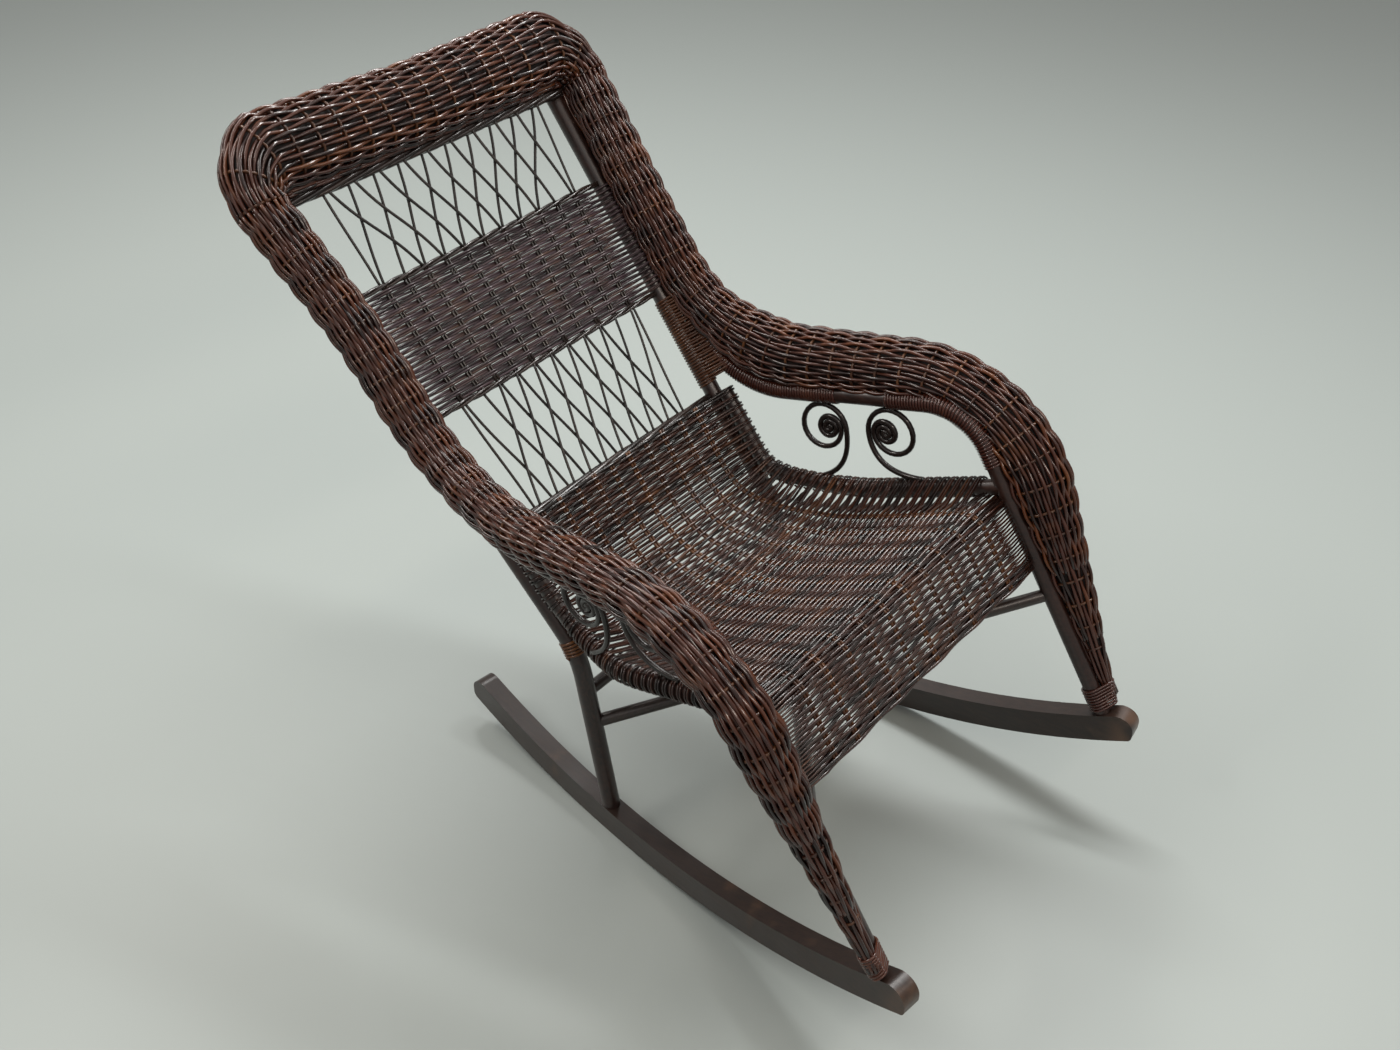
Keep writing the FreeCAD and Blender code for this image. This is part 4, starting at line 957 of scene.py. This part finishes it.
def woundBoth(first, last):
    # binds the end of the arm bow to the post, and the post alone below it
    bow = [armPath.at(winding["bowStep"] * k)[0] for k in range(int(winding["bowLong"] / winding["bowStep"]))]
    turns = (last - first) / winding["pitch"]
    count = int(turns * winding["postPoints"])
    points = []
    for k in range(count + 1):
        middle, way = postPath.at(first + (last - first) * k / count)
        beside = min(bow, key=lambda point: abs((point - middle).dot(way))) - middle
        away = turnAbout(way, 2 * math.pi * turns * k / count)
        bound = beside.length < winding["bowReach"] and beside.dot(away) + wrapRadius > postWrapRadius
        points.append(middle + (beside if bound else Vector()) + away * (wrapRadius if bound else postWrapRadius))
    return points


def woundFoot():
    # holds the thin end of the roll to the leg
    points = []
    count = winding["footTurns"] * winding["footPoints"]
    for k in range(count + 1):
        turn = k / winding["footPoints"]
        away = across * math.cos(2 * math.pi * turn) + legFront * math.sin(2 * math.pi * turn)
        low = frontFoot + legWay * (winding["footStart"] + winding["pitch"] * turn)
        tuck = footOff * (winding["footTuck"] + (1 - winding["footTuck"]) * k / count)
        rolled = footSide.dot(away) * tuck + roll["footRadius"] > chair["armRadius"]
        hub = footSide * tuck if rolled else Vector()
        reach = (roll["footRadius"] if rolled else chair["armRadius"]) + winding["caneRadius"]
        points.append(low + hub + away * reach)
    return points


bareBack = armPath.nearest(knee + armWay * (winding["bareStart"] + winding["bareLong"]))
bareFront = armPath.nearest(knee + armWay * winding["bareStart"])
legEnd = armPath.nearest(knee - legWay * winding["downLeg"])
postSeat = postPath.nearest(postPoint(winding["postLow"]))
postBand = postPath.nearest(postPoint(winding["postHigh"]))
bindMiddle = postPath.starts[1] + winding["bindShare"] * (postPath.starts[2] - postPath.starts[1])
bindEnds = bindMiddle - winding["bindHalf"], bindMiddle + winding["bindHalf"]
windings = [
    ("arm_wrap_rear_", wound(armPath, winding["topStart"], bareBack, wrapRadius), "redCane"),
    ("arm_wrap_front_", wound(armPath, bareFront, legEnd, wrapRadius), "redCane"),
    ("post_wrap_", woundBoth(postSeat, postBand), "orangeCane"),
    ("post_binding_", wound(postPath, *bindEnds, postWrapRadius), "orangeCane"),
    ("foot_binding_", woundFoot(), "redCane"),
]
for label, points, finish in windings:
    for side, name in chairSides:
        strandPiece(label + "cane_" + name, onSide([(points, 1.0)], side), winding["caneRadius"], finish,
                    (label + name,), 70 + side)

# poles, boards and the screw keep their frame shape and get their finish
looks = {"rocker_": "runnerWood", "arm_bow_": "armWood", "back_post_": "frameWood", "seat_": "frameWood",
         "apron_": "frameWood", "diagonal_": "stretcherWood", "rear_stretcher": "stretcherWood"}
for name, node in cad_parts.items():
    finish = next((f for start, f in looks.items() if name.startswith(start)), "screwSteel")
    node.data.materials.clear()
    node.data.materials.append(finishes[finish])
print("frame pieces finished")

# floor and backdrop, which reflections see as the camera does
studio = {"floor": (.42, .47, .455), "floorRough": .45, "floorHalf": 9, "floorDrop": .0005,
          "world": (1.0, .95, .90), "worldStrength": .12, "backdrop": .40}
shape = bmesh.new()
bmesh.ops.create_grid(shape, x_segments=1, y_segments=1, size=studio["floorHalf"])
mesh = bpy.data.meshes.new("floor")
shape.to_mesh(mesh)
shape.free()
floorFinish, shade, shader = startMaterial("pale_floor")
shader.inputs["Base Color"].default_value = (*studio["floor"], 1)
shader.inputs["Roughness"].default_value = studio["floorRough"]
mesh.materials.append(floorFinish)
floor = bpy.data.objects.new("floor", mesh)
floor.location.z = -studio["floorDrop"]
scene.collection.objects.link(floor)
world = bpy.data.worlds.new("studio")
world.use_nodes = True
sky = next(n for n in world.node_tree.nodes if n.type == "BACKGROUND")
sky.inputs["Color"].default_value = (*studio["world"], 1)
paths = Shade(world.node_tree)
direct, glossy, through = (paths.make("ShaderNodeLightPath", output="Is %s Ray" % kind)
                           for kind in ("Camera", "Glossy", "Transmission"))
seen = paths.maths("MAXIMUM", direct, paths.maths("MAXIMUM", glossy, through))
(seen * studio["backdrop"] + (1 - seen) * studio["worldStrength"]).feed(sky, "Strength")
scene.world = world

# place, aim, size, power and colour
lamps = {
    "top": ((0, 0, 4.6), (0, 0, 0), (12, 12), 150, (1, 1, 1)),
    "key": ((1.5, .4, 2.8), (0, 0, .5), (3.2, .22), 66, (1, .99, .97)),
    "rear": ((-.9, 1.9, 2.7), (0, .1, .5), (3.2, .22), 50, (1, .94, .88)),
    "side": ((-.4, -2.2, 2.9), (0, 0, .4), (3.0, .3), 30, (1, .86, .74)),
}
for name, (place, aim, size, power, colour) in lamps.items():
    light = bpy.data.lights.new(name, "AREA")
    light.shape = "RECTANGLE"
    light.size, light.size_y = size
    light.energy = power
    light.color = colour
    lamp = bpy.data.objects.new(name, light)
    lamp.location = place
    lamp.rotation_euler = (Vector(aim) - Vector(place)).to_track_quat("-Z", "Y").to_euler()
    scene.collection.objects.link(lamp)

view = {"place": (-1.2343, -1.0004, 1.6761), "yaw": 50.853, "pitch": 38.470, "roll": -.926, "lens": 37.18,
        "sensor": 36}
yaw, pitch, turn = (math.radians(view[k]) for k in ("yaw", "pitch", "roll"))
ahead = Vector((math.sin(yaw) * math.cos(pitch), math.cos(yaw) * math.cos(pitch), -math.sin(pitch)))
right = Vector((math.cos(yaw), -math.sin(yaw), 0))
down = ahead.cross(right)
right, down = right * math.cos(turn) + down * math.sin(turn), down * math.cos(turn) - right * math.sin(turn)
camera = bpy.data.objects.new("camera", bpy.data.cameras.new("camera"))
camera.data.lens = view["lens"]
camera.data.sensor_width = view["sensor"]
camera.data.sensor_fit = "HORIZONTAL"
camera.matrix_world = Matrix((right, -down, -ahead)).transposed().to_4x4()
camera.location = view["place"]
scene.collection.objects.link(camera)
scene.camera = camera
scene.view_settings.view_transform = "Standard"
print("stage set")
